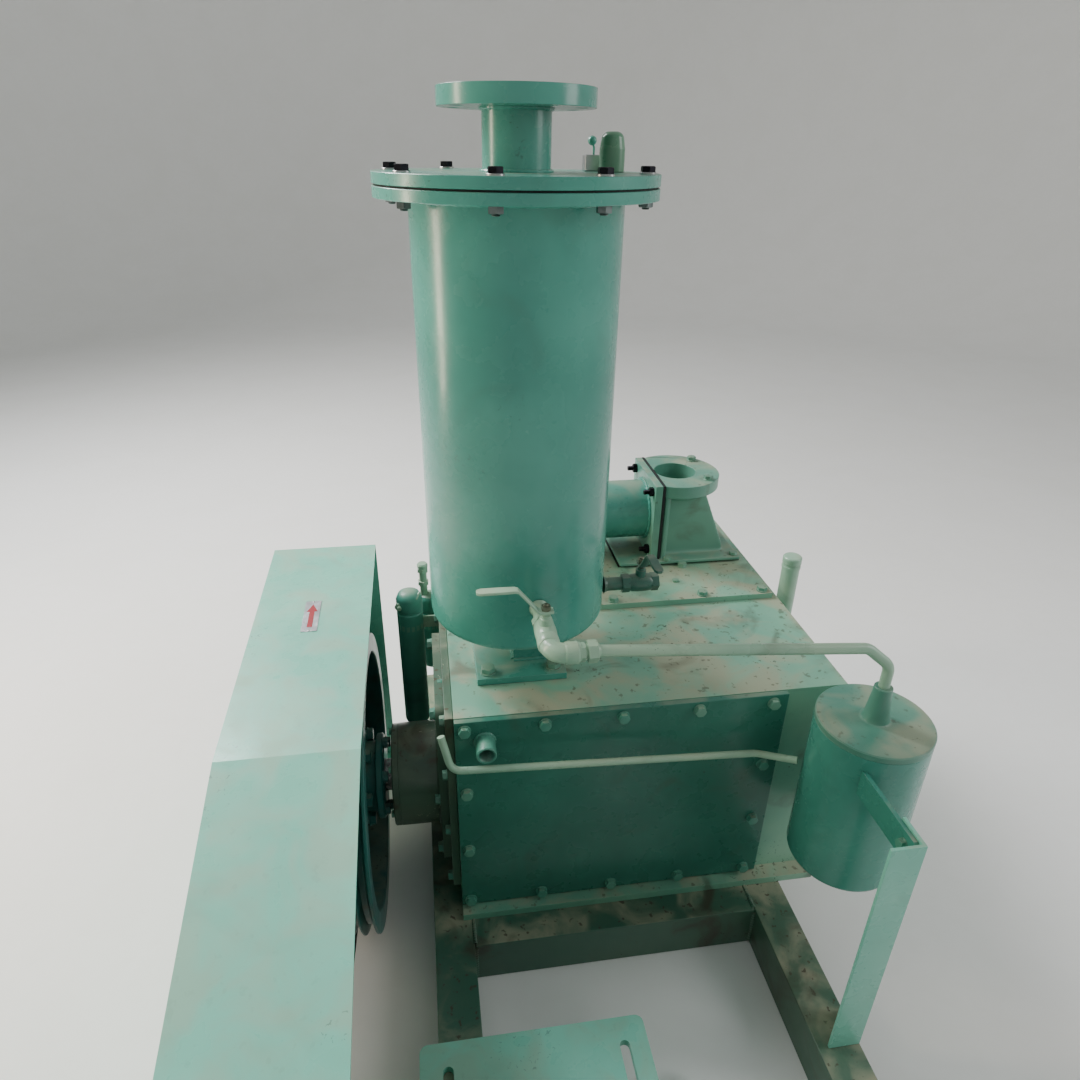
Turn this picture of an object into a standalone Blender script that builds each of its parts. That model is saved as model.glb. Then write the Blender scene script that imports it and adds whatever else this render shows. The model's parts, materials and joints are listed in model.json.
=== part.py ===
"""Belt-driven rotary vane vacuum pump set, modelled as separate parts for Blender 4.5.

Metres, +Z up, +X along the pump shaft away from the belts, +Y away from the motor.
The origin lies on the underside of the middle cross member, at the centre of the skid.
"""

import math

import bmesh
import bpy
from mathutils import Matrix

# ---- Fits -------------------------------------------------------------------------------
GAP = 0.0003
RUN = 0.0004

# ---- Skid -------------------------------------------------------------------------------
SKID_LENGTH = 1.700
RAIL_SPREAD = 0.658
RAIL_WIDTH = 0.078
RAIL_HEIGHT = 0.100
RAIL_WALL = 0.007
CROSS_WIDTH = 0.075
REAR_CROSS_PAST_CASING = 0.0065
MOTOR_CROSS_PAST_SHAFT = 0.0535
SOLE_THICKNESS = 0.015
SOLE_LIP = 0.022

# ---- Pump casing ------------------------------------------------------------------------
CASING_WIDTH = 0.751
CASING_DEPTH = 0.740
CASING_HEIGHT = 0.480
CASING_WALL = 0.018
CASING_FRONT_SETBACK = 0.0435
COVER_WIDTH = 0.628
COVER_THICKNESS = 0.012
COVER_DROP = 0.476
WINDOW_MARGIN = 0.045
SHAFT_INSET = 0.175
SHAFT_DROP = 0.2695
END_OPENING_RADIUS = 0.112

# ---- Pumping unit -----------------------------------------------------------------------
SHAFT_RADIUS = 0.032
ROTOR_WALL = 0.056
ROTOR_LENGTH = 0.400
ROTOR_OFFSET = 0.020
TIP_CLEARANCE = 0.0012
STATOR_WALL = 0.0267
STATOR_HEIGHT = 0.320
STATOR_FLOOR = 0.020
END_CLEARANCE = 0.0005
SIDE_PLATE_THICKNESS = 0.021
VANE_COUNT = 3
VANE_THICKNESS = 0.010
VANE_DEPTH = 0.048
SLOT_CLEARANCE = 0.0006

# ---- Drive end --------------------------------------------------------------------------
END_COVER_THICKNESS = 0.0157
END_PLATE_THICKNESS = 0.0157
HOUSING_RADIUS = 0.1035
HOUSING_LENGTH = 0.080
HOUSING_CAP = 0.013
BEARING_OUTER = 0.062
BEARING_WIDTH = 0.034
SEAL_OUTER = 0.050
REAR_CAP_LENGTH = 0.040
REAR_CAP_RADIUS = 0.095

# ---- Belt drive -------------------------------------------------------------------------
GROOVES = 5
SPARE_GROOVES = 2
GROOVE_PITCH = 0.0255
GROOVE_EDGE = 0.017
GROOVE_TOP = 0.022
GROOVE_DEPTH = 0.019
GROOVE_FLOOR = 0.010
PUMP_PULLEY_RADIUS = 0.297
MOTOR_PULLEY_RADIUS = 0.100
PULLEY_FACE = 0.159
RIM_THICKNESS = 0.020
WEB_THICKNESS = 0.018
HUB_RADIUS = 0.072
HUB_FLANGE_RADIUS = 0.086
HUB_FLANGE_THICKNESS = 0.016
HUB_LENGTH = 0.130
HUB_END = 0.142
HUB_SETBACK = 0.006
BELT_TOP_WIDTH = 0.0205
BELT_BASE_WIDTH = 0.0125
BELT_HEIGHT = 0.0135
PUMP_WRAP_STEPS = 18
MOTOR_WRAP_STEPS = 9

# ---- Motor ------------------------------------------------------------------------------
MOTOR_DISTANCE = 0.875
MOTOR_SHAFT_HEIGHT = 0.200
MOTOR_PLATE_THICKNESS = 0.015
MOTOR_PLATE_LEFT = -0.400
MOTOR_PLATE_RIGHT = -0.005
MOTOR_PLATE_BACK = -0.2195
MOTOR_PLATE_DEPTH = 0.630
MOTOR_FOOT_SPREAD = 0.318
MOTOR_FOOT_PITCH = 0.305
MOTOR_FOOT_EDGE = 0.030
MOTOR_FOOT_WIDTH = 0.060
MOTOR_FOOT_TOE = 0.022
MOTOR_CENTRE_X = 0.1095
MOTOR_FRAME_RADIUS = 0.172
MOTOR_FRAME_LENGTH = 0.390
MOTOR_NOSE = 0.050
MOTOR_FIN_COUNT = 20
MOTOR_FIN_HEIGHT = 0.020
MOTOR_SHAFT_RADIUS = 0.0275
SLOT_WIDTH = 0.018
SLOT_LENGTH = 0.560
SLOT_FROM_EDGE = 0.040
SHIELD_LIP = 0.022
SHIELD_NOSE_RADIUS = 0.070
COWL_LENGTH = 0.105
COWL_CORNER = 0.020
TERMINAL_BOX_LENGTH = 0.170
TERMINAL_BOX_WIDTH = 0.130
TERMINAL_BOX_HEIGHT = 0.062

# ---- Belt guard -------------------------------------------------------------------------
GUARD_SHEET = 0.003
GUARD_WIDTH = 0.225
GUARD_RIGHT = 0.150
GUARD_REAR_CLEARANCE = 0.076
GUARD_TOP_CLEARANCE = 0.024
GUARD_TOP_RISE = 0.030
GUARD_FOLD_INSET = 0.023
GUARD_SLOPE = 0.297
GUARD_NOSE_CLEARANCE = 0.040
GUARD_REAR_BOTTOM = 0.050
GUARD_SIDE_BOTTOM = 0.110
GUARD_BAR = 0.050
GUARD_BAR_WALL = 0.006

# ---- Separator tank ---------------------------------------------------------------------
TANK_INSET_X = 0.135
TANK_INSET_Y = 0.185
TANK_RADIUS = 0.162
TANK_WALL = 0.008
TANK_CLEARANCE = 0.122
TANK_TOP = 0.871
TANK_FLANGE_RADIUS = 0.212
TANK_FLANGE_THICKNESS = 0.0158
TANK_GASKET = 0.0023
FOOT_SIZE = 0.171
FOOT_THICKNESS = 0.014
STOOL_SIZE = 0.066
STOOL_SHIFT = 0.022
STUB_RADIUS = 0.0508
STUB_WALL = 0.006
STUB_FLANGE_RADIUS = 0.1145
STUB_FLANGE_THICKNESS = 0.027
STUB_HEIGHT = 0.109
RELIEF_RADIUS = 0.0195
RELIEF_HEIGHT = 0.055
RELIEF_X = 0.150
RELIEF_Y = 0.030
VENT_X = 0.131
VENT_Y = 0.075
ELEMENT_RADIUS = 0.105
ELEMENT_BORE = 0.070
ELEMENT_RISE = 0.330
ELEMENT_DROP = 0.060
PIPE_RISE = 0.380

# ---- Ports on the casing ----------------------------------------------------------------
TOP_PLATE_LEFT = 0.330
TOP_PLATE_RIGHT = 0.737
TOP_PLATE_FRONT = 0.330
TOP_PLATE_BACK = 0.712
TOP_PLATE_THICKNESS = 0.0127
PORT_GASKET = 0.0020
PORT_BASE_LEFT = 0.416
PORT_BASE_RIGHT = 0.720
PORT_BASE_FRONT = 0.490
PORT_BASE_BACK = 0.692
PORT_BASE_THICKNESS = 0.012
PORT_CENTRE_Y = 0.585
SUCTION_X = 0.568
SUCTION_TOP = 0.210
SUCTION_RADIUS = 0.049
SUCTION_THROAT = 0.036
SUCTION_SHIFT = 0.065
SUCTION_FLANGE_RADIUS = 0.105
SUCTION_FLANGE_THICKNESS = 0.030
PORT_BODY_FOOT = 0.118
PORT_BODY_NECK = 0.058
PORT_BODY_HALF = 0.068
DISCHARGE_X = 0.535
DISCHARGE_Z = 0.115
DISCHARGE_RADIUS = 0.036
SQUARE_FLANGE = 0.189
SQUARE_FLANGE_THICKNESS = 0.017
SQUARE_GASKET = 0.006
SQUARE_FLANGE_Z = 0.123
PIPE_RADIUS = 0.0698
PIPE_WALL = 0.006
ELBOW_BEND = 0.095
DUCT_RADIUS = 0.040
DUCT_WALL = 0.004

# ---- Oil circuit ------------------------------------------------------------------------
VALVE_X = 0.152
VALVE_Z = 0.213
VALVE_OUT = 0.073
VALVE_BODY_RADIUS = 0.023
ELBOW_OUT = 0.133
OIL_TUBE_RADIUS = 0.0095
SUPPLY_TUBE_RADIUS = 0.0068
LEVER_LENGTH = 0.110
LEVER_WIDTH = 0.017
LEVER_THICKNESS = 0.005
LEVER_CRANK = 0.042
LEVER_CRANK_START = 0.012
LEVER_CRANK_END = 0.048
STEM_RISE = 0.038
DRAIN_Y = 0.165
DRAIN_Z = 0.165
FILTER_FROM_POST = 0.047
FILTER_OUT = 0.120
FILTER_RADIUS = 0.099
FILTER_WALL = 0.004
FILTER_TOP = 0.018
FILTER_HEIGHT = 0.314
FILTER_LID = 0.012
NOZZLE_RADIUS = 0.015
NOZZLE_HEIGHT = 0.070
POST_FRONT = 0.3605
POST_RAIL_INSET = 0.0013
POST_LEG = 0.058
POST_WALL = 0.006
POST_TOP = 0.002
LUG_THICKNESS = 0.008
LUG_HEIGHT = 0.050
LUG_DROP = 0.004
FILTER_ELEMENT_RADIUS = 0.077
FILTER_ELEMENT_BORE = 0.040
FILTER_ELEMENT_END = 0.030
SUPPLY_OUT = 0.035
SOCKET_RADIUS = 0.018
SOCKET_BORE = 0.014
SOCKET_LENGTH = 0.040
SOCKET_X = 0.054
SOCKET_DROP = 0.046
BREATHER_FROM_CASING = 0.027
BREATHER_Y = 0.345
BREATHER_RADIUS = 0.020
BREATHER_TOP = 0.078
BREATHER_DROP = 0.150
BREATHER_CAP_HEIGHT = 0.020
BOTTLE_X = 0.078
BOTTLE_Y = 0.420
BOTTLE_RADIUS = 0.029
BOTTLE_TOP = 0.010
BOTTLE_LENGTH = 0.344
SECOND_BOTTLE_X = 0.034
SECOND_BOTTLE_Y = 0.520
SECOND_BOTTLE_DROP = 0.055
SECOND_BOTTLE_LENGTH = 0.190
BOTTLE_PIPE_RISE = 0.096

# ---- Places worked out from the sizes above ---------------------------------------------
CASING_LEFT = -0.3093
CASING_RIGHT = CASING_LEFT + CASING_WIDTH
COVER_FRONT = CASING_FRONT_SETBACK
CASING_FRONT = COVER_FRONT + COVER_THICKNESS + GAP
CASING_BACK = COVER_FRONT + CASING_DEPTH
CASING_BOTTOM = RAIL_HEIGHT + SOLE_THICKNESS + 2 * GAP
CASING_TOP = CASING_BOTTOM + CASING_HEIGHT
SHAFT_Y = COVER_FRONT + SHAFT_INSET
SHAFT_Z = CASING_TOP - SHAFT_DROP
TANK_X = CASING_LEFT + TANK_INSET_X
TANK_Y = COVER_FRONT + TANK_INSET_Y
TANK_BOTTOM_Z = CASING_TOP + TANK_CLEARANCE
TANK_TOP_Z = CASING_TOP + TANK_TOP
TANK_FLANGE_Z = TANK_TOP_Z - 2 * TANK_FLANGE_THICKNESS - TANK_GASKET - 2 * GAP
PORT_Y = COVER_FRONT + PORT_CENTRE_Y
PLATE_TOP_Z = CASING_TOP + GAP + TOP_PLATE_THICKNESS
PORT_BASE_Z = PLATE_TOP_Z + PORT_GASKET + 2 * GAP
SUCTION_TOP_Z = CASING_TOP + SUCTION_TOP
PULLEY_WIDTH = 2 * GROOVE_EDGE + (GROOVES - 1) * GROOVE_PITCH
PULLEY_RIGHT = CASING_LEFT - PULLEY_FACE
PULLEY_LEFT = PULLEY_RIGHT - PULLEY_WIDTH
MOTOR_Y = SHAFT_Y - MOTOR_DISTANCE
MOTOR_PLATE_TOP = RAIL_HEIGHT + GAP + MOTOR_PLATE_THICKNESS
MOTOR_Z = MOTOR_PLATE_TOP + GAP + MOTOR_SHAFT_HEIGHT
POST_RIGHT = RAIL_SPREAD / 2 + RAIL_WIDTH / 2 - POST_RAIL_INSET
FILTER_CENTRE_X = POST_RIGHT + FILTER_FROM_POST
FILTER_CENTRE_Y = COVER_FRONT - FILTER_OUT
FILTER_TOP_Z = CASING_TOP + FILTER_TOP
FILTER_BOTTOM_Z = FILTER_TOP_Z - FILTER_HEIGHT
ROTOR_LEFT = CASING_LEFT + CASING_WALL + SIDE_PLATE_THICKNESS + 2 * GAP + 0.020
ROTOR_RIGHT = ROTOR_LEFT + ROTOR_LENGTH
ROTOR_RADIUS = SHAFT_RADIUS + ROTOR_WALL
BORE_RADIUS = ROTOR_RADIUS + ROTOR_OFFSET + GAP
STATOR_WIDTH = 2 * (BORE_RADIUS + STATOR_WALL)
BORE_Z = SHAFT_Z - ROTOR_OFFSET
END_COVER_LEFT = CASING_LEFT - GAP - END_COVER_THICKNESS
END_PLATE_LEFT = END_COVER_LEFT - GAP - END_PLATE_THICKNESS
HOUSING_LEFT = END_PLATE_LEFT - HOUSING_LENGTH
HUB_RIGHT = CASING_LEFT - HUB_END
HUB_LEFT = HUB_RIGHT - HUB_LENGTH
SHAFT_END = CASING_RIGHT + REAR_CAP_LENGTH - HUB_SETBACK
GUARD_RIGHT_X = CASING_LEFT - GUARD_RIGHT
GUARD_LEFT_X = GUARD_RIGHT_X - GUARD_WIDTH
GUARD_BACK_Y = SHAFT_Y + PUMP_PULLEY_RADIUS + GUARD_REAR_CLEARANCE
GUARD_FOLD_Y = SHAFT_Y - PUMP_PULLEY_RADIUS + GUARD_FOLD_INSET
GUARD_FOLD_Z = SHAFT_Z + PUMP_PULLEY_RADIUS + GUARD_TOP_CLEARANCE
GUARD_NOSE_Y = MOTOR_Y - MOTOR_PULLEY_RADIUS - GUARD_NOSE_CLEARANCE
GUARD_NOSE_Z = GUARD_FOLD_Z - GUARD_SLOPE * (GUARD_FOLD_Y - GUARD_NOSE_Y)

SMOOTH_ANGLE = math.radians(35)

scene_parts = bpy.data.collections.new("rotary_vane_pump")
cutters = bpy.data.collections.new("cutters")


# ---- Tools ------------------------------------------------------------------------------
def clear_scene():
    for obj in list(bpy.data.objects):
        bpy.data.objects.remove(obj, do_unlink=True)
    bpy.context.scene.collection.children.link(scene_parts)
    bpy.context.scene.collection.children.link(cutters)
    cutters.hide_render = True


def finish(name, color, roughness, metallic):
    material = bpy.data.materials.new(name)
    material.use_nodes = True
    shader = material.node_tree.nodes["Principled BSDF"]
    shader.inputs["Base Color"].default_value = (*color, 1.0)
    shader.inputs["Roughness"].default_value = roughness
    shader.inputs["Metallic"].default_value = metallic
    return material


def dress(obj, look):
    """Gives the object a material of its own, from a (colour, roughness, metallic) look."""
    obj.data.materials.clear()
    obj.data.materials.append(finish(obj.name + "_finish", *look))


def mesh_object(name, mesh, look, location=(0, 0, 0)):
    obj = bpy.data.objects.new(name, mesh)
    obj.location = location
    if look is None:
        cutters.objects.link(obj)
        obj.hide_render = True
        obj.display_type = "WIRE"
    else:
        scene_parts.objects.link(obj)
        dress(obj, look)
    return obj


def block(name, low, high, look, bevel=0.0):
    """A rectangular block between two corners."""
    size = [b - a for a, b in zip(low, high)]
    centre = [(a + b) / 2 for a, b in zip(low, high)]
    mesh = bpy.data.meshes.new(name)
    shape = bmesh.new()
    bmesh.ops.create_cube(shape, size=1.0, matrix=Matrix.Diagonal((*size, 1.0)))
    shape.to_mesh(mesh)
    shape.free()
    obj = mesh_object(name, mesh, look, centre)
    if bevel:
        round_edges(obj, bevel)
    return obj


def round_edges(obj, width, segments=2):
    bevel = obj.modifiers.new("edges", "BEVEL")
    bevel.width = width
    bevel.segments = segments
    bevel.limit_method = "ANGLE"


def turned(name, profile, look, location, axis="Z", steps=40, closed=False):
    """A solid of revolution from (radius, height) points that run down its outer side."""
    mesh = bpy.data.meshes.new(name)
    shape = bmesh.new()
    points = [shape.verts.new((radius, 0.0, height)) for radius, height in profile]
    for first, second in zip(points, points[1:]):
        shape.edges.new((first, second))
    if closed:
        shape.edges.new((points[-1], points[0]))
    shape.to_mesh(mesh)
    shape.free()
    obj = mesh_object(name, mesh, look, location)
    screw = obj.modifiers.new("turn", "SCREW")
    screw.steps = steps
    screw.render_steps = steps
    screw.use_merge_vertices = True
    screw.merge_threshold = 0.00005
    screw.use_smooth_shade = True
    obj.rotation_euler = {
        "Z": (0, 0, 0),
        "X": (0, math.pi / 2, 0),
        "Y": (-math.pi / 2, 0, 0),
        "-Y": (math.pi / 2, 0, 0),
    }[axis]
    return obj


def cylinder(name, radius, low, high, look, location, axis="Z", steps=40):
    """A plain cylinder whose axis coordinate runs from low to high, measured from location."""
    profile = [(0.0, high), (radius, high), (radius, low), (0.0, low)]
    return turned(name, profile, look, location, axis, steps)


def ring(name, outer, inner, low, high, look, location, axis="Z", steps=40):
    profile = [(inner, high), (outer, high), (outer, low), (inner, low)]
    return turned(name, profile, look, location, axis, steps, closed=True)


def bar(name, outline, low, high, look, axis="X", holes=()):
    """A flat outline drawn across the axis and extruded along it from low to high.

    The outline's pairs are (Y, Z) for axis X, (X, Z) for axis Y and (X, Y) for axis Z.
    """
    curve = bpy.data.curves.new(name, "CURVE")
    curve.dimensions = "2D"
    curve.fill_mode = "BOTH"
    curve.extrude = (high - low) / 2
    for loop in (outline, *holes):
        spline = curve.splines.new("POLY")
        spline.points.add(len(loop) - 1)
        for point, (u, v) in zip(spline.points, loop):
            point.co = (u, v, 0.0, 1.0)
        spline.use_cyclic_u = True
    helper = bpy.data.objects.new(name + "_outline", curve)
    cutters.objects.link(helper)
    mesh = settled_mesh(helper)
    middle = (low + high) / 2
    turn = {
        "X": Matrix(((0, 0, 1, middle), (1, 0, 0, 0), (0, 1, 0, 0), (0, 0, 0, 1))),
        "Y": Matrix(((1, 0, 0, 0), (0, 0, -1, middle), (0, 1, 0, 0), (0, 0, 0, 1))),
        "Z": Matrix.Translation((0, 0, middle)),
    }[axis]
    mesh.transform(turn)
    return mesh_object(name, mesh, look)


def settled_mesh(helper):
    """The evaluated mesh of a helper object, with its seams welded, after which the helper goes."""
    graph = bpy.context.evaluated_depsgraph_get()
    graph.update()
    mesh = bpy.data.meshes.new_from_object(helper.evaluated_get(graph))
    shape = bmesh.new()
    shape.from_mesh(mesh)
    bmesh.ops.remove_doubles(shape, verts=shape.verts, dist=0.00001)
    bmesh.ops.recalc_face_normals(shape, faces=shape.faces)
    shape.to_mesh(mesh)
    shape.free()
    bpy.data.objects.remove(helper, do_unlink=True)
    return mesh


def rod(name, points, radius, look, resolution=3):
    """A round bar or pipe along a polyline."""
    curve = bpy.data.curves.new(name, "CURVE")
    curve.dimensions = "3D"
    curve.bevel_depth = radius
    curve.bevel_resolution = resolution
    curve.use_fill_caps = True
    spline = curve.splines.new("POLY")
    spline.points.add(len(points) - 1)
    for point, place in zip(spline.points, points):
        point.co = (*place, 1.0)
    helper = bpy.data.objects.new(name + "_route", curve)
    cutters.objects.link(helper)
    return mesh_object(name, settled_mesh(helper), look)


def bent_route(corners, radius, steps=5):
    """Corner points joined by straight runs, with each inner corner rounded to the radius."""
    route = [corners[0]]
    for before, corner, after in zip(corners, corners[1:], corners[2:]):
        back = [a - c for a, c in zip(before, corner)]
        ahead = [a - c for a, c in zip(after, corner)]
        back_length = math.hypot(*back)
        ahead_length = math.hypot(*ahead)
        back = [value / back_length for value in back]
        ahead = [value / ahead_length for value in ahead]
        angle = math.acos(max(-1.0, min(1.0, sum(a * b for a, b in zip(back, ahead)))))
        reach = radius / math.tan(angle / 2)
        middle = [a + b for a, b in zip(back, ahead)]
        middle_length = math.hypot(*middle)
        centre_distance = radius / math.sin(angle / 2)
        centre = [c + m / middle_length * centre_distance for c, m in zip(corner, middle)]
        start = [c + b * reach - m for c, b, m in zip(corner, back, centre)]
        end = [c + a * reach - m for c, a, m in zip(corner, ahead, centre)]
        sweep = math.pi - angle
        for step in range(steps + 1):
            share = step / steps
            one = math.sin((1 - share) * sweep) / math.sin(sweep)
            two = math.sin(share * sweep) / math.sin(sweep)
            route.append([m + one * a + two * b for m, a, b in zip(centre, start, end)])
    route.append(corners[-1])
    return route


def circle(centre, radius, count=24):
    turn = 2 * math.pi / count
    return [
        (centre[0] + radius * math.cos(turn * i), centre[1] + radius * math.sin(turn * i))
        for i in range(count)
    ]


def rectangle(low, high):
    return [(low[0], low[1]), (high[0], low[1]), (high[0], high[1]), (low[0], high[1])]


def rounded_rectangle(low, high, radius, steps=4):
    corners = ((high[0], low[1], -90), (high[0], high[1], 0), (low[0], high[1], 90), (low[0], low[1], 180))
    outline = []
    for x, y, start in corners:
        centre_x = x - radius if x == high[0] else x + radius
        centre_y = y - radius if y == high[1] else y + radius
        for step in range(steps + 1):
            angle = math.radians(start + 90 * step / steps)
            outline.append((centre_x + radius * math.cos(angle), centre_y + radius * math.sin(angle)))
    return outline


def combine(obj, other, operation):
    boolean = obj.modifiers.new(other.name, "BOOLEAN")
    boolean.operation = operation
    boolean.object = other
    boolean.solver = "EXACT"


def cut(obj, *tools):
    for tool in tools:
        combine(obj, tool, "DIFFERENCE")


def join(obj, *pieces):
    for piece in pieces:
        combine(obj, piece, "UNION")


def polar(centre, radius, degrees):
    angle = math.radians(degrees)
    return centre[0] + radius * math.cos(angle), centre[1] + radius * math.sin(angle)


# ---- Looks: colour, roughness, metallic -------------------------------------------------
ENAMEL = ((0.09, 0.33, 0.28), 0.30, 0.0)
PALE_ENAMEL = ((0.27, 0.60, 0.50), 0.28, 0.0)
DARK_ENAMEL = ((0.04, 0.17, 0.14), 0.40, 0.0)
DUSTY_ENAMEL = ((0.20, 0.42, 0.34), 0.55, 0.0)
SKID_ENAMEL = ((0.07, 0.17, 0.13), 0.50, 0.0)
FITTING_ENAMEL = ((0.36, 0.50, 0.38), 0.40, 0.0)
CAST_IRON = ((0.12, 0.12, 0.12), 0.55, 1.0)
STEEL = ((0.45, 0.45, 0.46), 0.32, 1.0)
RUBBER = ((0.02, 0.02, 0.02), 0.80, 0.0)
GASKET = ((0.05, 0.05, 0.05), 0.80, 0.0)
PHENOLIC = ((0.16, 0.09, 0.05), 0.50, 0.0)
FILTER_MEDIA = ((0.75, 0.72, 0.62), 0.90, 0.0)


# ---- Skid -------------------------------------------------------------------------------
def channel(inner, outer, low, high):
    """A channel section with its web at the inner side and its flanges running to the outer."""
    side = math.copysign(RAIL_WALL, outer - inner)
    return [
        (inner, low),
        (outer, low),
        (outer, low + RAIL_WALL),
        (inner + side, low + RAIL_WALL),
        (inner + side, high - RAIL_WALL),
        (outer, high - RAIL_WALL),
        (outer, high),
        (inner, high),
    ]


def make_skid():
    half = SKID_LENGTH / 2
    centre = RAIL_SPREAD / 2
    inner = centre - RAIL_WIDTH / 2
    outer = centre + RAIL_WIDTH / 2
    for name, side in (("skid_rail_left", -1), ("skid_rail_right", 1)):
        section = channel(side * inner, side * outer, 0.0, RAIL_HEIGHT)
        bar(name, section, -half, half, SKID_ENAMEL, axis="Y")
    reach = inner - GAP
    members = {
        "skid_cross_middle": 0.0,
        "skid_cross_rear": CASING_BACK + REAR_CROSS_PAST_CASING,
        "skid_cross_motor": MOTOR_Y - MOTOR_CROSS_PAST_SHAFT,
    }
    for name, middle in members.items():
        section = channel(middle - CROSS_WIDTH / 2, middle + CROSS_WIDTH / 2, 0.0, RAIL_HEIGHT)
        bar(name, section, -reach, reach, SKID_ENAMEL, axis="X")


# ---- Casing -----------------------------------------------------------------------------
def make_casing():
    body = block(
        "pump_casing",
        (CASING_LEFT, CASING_FRONT, CASING_BOTTOM),
        (CASING_RIGHT, CASING_BACK, CASING_TOP),
        DUSTY_ENAMEL,
    )
    sole = block(
        "join_sole",
        (CASING_LEFT, COVER_FRONT - SOLE_LIP, RAIL_HEIGHT + GAP),
        (CASING_RIGHT, CASING_BACK, CASING_BOTTOM + 0.001),
        None,
    )
    join(body, sole)
    wall = CASING_WALL
    chamber = block(
        "cut_chamber",
        (CASING_LEFT + wall, CASING_FRONT + wall, CASING_BOTTOM + wall),
        (CASING_RIGHT - wall, CASING_BACK - wall, CASING_TOP - wall),
        None,
    )
    window = block(
        "cut_window",
        (CASING_LEFT + WINDOW_MARGIN, CASING_FRONT - wall, CASING_TOP - COVER_DROP + WINDOW_MARGIN),
        (CASING_LEFT + COVER_WIDTH - WINDOW_MARGIN, CASING_FRONT + 2 * wall, CASING_TOP - WINDOW_MARGIN),
        None,
    )
    shaft_line = (0.0, SHAFT_Y, SHAFT_Z)
    left_hole = cylinder(
        "cut_left_end",
        END_OPENING_RADIUS,
        CASING_LEFT - wall,
        CASING_LEFT + 2 * wall,
        None,
        shaft_line,
        "X",
        32,
    )
    right_hole = cylinder(
        "cut_right_end",
        BEARING_OUTER + RUN,
        CASING_RIGHT - 2 * wall,
        CASING_RIGHT + wall,
        None,
        shaft_line,
        "X",
        32,
    )
    port_tools = port_holes("casing", CASING_TOP - 2 * wall, CASING_TOP + wall)
    cut(body, chamber, window, left_hole, right_hole, *port_tools)

    cover = block(
        "front_cover",
        (CASING_LEFT, COVER_FRONT, CASING_TOP - COVER_DROP),
        (CASING_LEFT + COVER_WIDTH, COVER_FRONT + COVER_THICKNESS, CASING_TOP - 0.001),
        DARK_ENAMEL,
    )
    socket_place = (CASING_LEFT + SOCKET_X, COVER_FRONT, CASING_TOP - SOCKET_DROP)
    socket = cylinder("join_socket", SOCKET_RADIUS, -0.004, SOCKET_LENGTH, None, socket_place, "-Y", 24)
    bore = cylinder("cut_socket", SOCKET_BORE, 0.002, SOCKET_LENGTH + 0.010, None, socket_place, "-Y", 24)
    join(cover, socket)
    cut(cover, bore)


def port_holes(tag, low, high):
    """Cutters for the discharge and suction passages through a plate above the casing."""
    throat_x = CASING_LEFT + SUCTION_X + SUCTION_SHIFT
    discharge = cylinder(
        f"cut_{tag}_discharge",
        DISCHARGE_RADIUS,
        low,
        high,
        None,
        (CASING_LEFT + DISCHARGE_X, PORT_Y, 0.0),
        steps=24,
    )
    suction = cylinder(
        f"cut_{tag}_suction",
        SUCTION_THROAT + 0.004,
        low,
        high,
        None,
        (throat_x, PORT_Y, 0.0),
        steps=24,
    )
    return discharge, suction


# ---- Pumping unit -----------------------------------------------------------------------
def make_pumping_unit():
    axis = (0.0, SHAFT_Y, SHAFT_Z)
    stator_left = ROTOR_LEFT - END_CLEARANCE
    stator_right = ROTOR_RIGHT + END_CLEARANCE
    stator_low = CASING_BOTTOM + CASING_WALL + GAP
    half = STATOR_WIDTH / 2
    stator = block(
        "stator",
        (stator_left, SHAFT_Y - half, stator_low),
        (stator_right, SHAFT_Y + half, stator_low + STATOR_HEIGHT),
        CAST_IRON,
    )
    bore = cylinder(
        "cut_bore",
        BORE_RADIUS,
        stator_left - STATOR_FLOOR,
        stator_right + STATOR_FLOOR,
        None,
        (0.0, SHAFT_Y, BORE_Z),
        "X",
        44,
    )
    middle = (stator_left + stator_right) / 2
    inlet = cylinder(
        "cut_inlet",
        DUCT_RADIUS - DUCT_WALL,
        0.0,
        STATOR_WIDTH,
        None,
        (middle, SHAFT_Y, SHAFT_Z),
        "Y",
        24,
    )
    outlet = cylinder(
        "cut_outlet",
        0.014,
        0.0,
        STATOR_HEIGHT,
        None,
        (middle, SHAFT_Y - 0.060, SHAFT_Z),
        steps=20,
    )
    cut(stator, bore, inlet, outlet)

    height = stator_low + STATOR_HEIGHT
    shaft_hole = [circle((SHAFT_Y, SHAFT_Z), SHAFT_RADIUS + RUN + GAP, 32)]
    face = rectangle((SHAFT_Y - half, stator_low), (SHAFT_Y + half, height))
    left = stator_left - GAP
    right = stator_right + GAP
    bar("stator_end_left", face, left - SIDE_PLATE_THICKNESS, left, CAST_IRON, "X", shaft_hole)
    bar("stator_end_right", face, right, right + SIDE_PLATE_THICKNESS, CAST_IRON, "X", shaft_hole)

    rotor = ring(
        "rotor",
        ROTOR_RADIUS,
        SHAFT_RADIUS + GAP,
        ROTOR_LEFT,
        ROTOR_RIGHT,
        STEEL,
        axis,
        "X",
        44,
    )
    slot_floor = ROTOR_RADIUS - VANE_DEPTH - TIP_CLEARANCE - GAP
    for index in range(VANE_COUNT):
        turn = 2 * math.pi * index / VANE_COUNT
        slot = radial_block("cut_slot_%d" % index, turn, slot_floor, ROTOR_RADIUS + 0.01, 0.0, 0.001, None)
        cut(rotor, slot)
        radial_block(
            "vane_%d" % (index + 1),
            turn,
            ROTOR_RADIUS - VANE_DEPTH - TIP_CLEARANCE,
            ROTOR_RADIUS - TIP_CLEARANCE,
            SLOT_CLEARANCE,
            -GAP,
            PHENOLIC,
        )

    cylinder("pump_shaft", SHAFT_RADIUS, HUB_LEFT + HUB_SETBACK, SHAFT_END, STEEL, axis, "X", 32)


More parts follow.
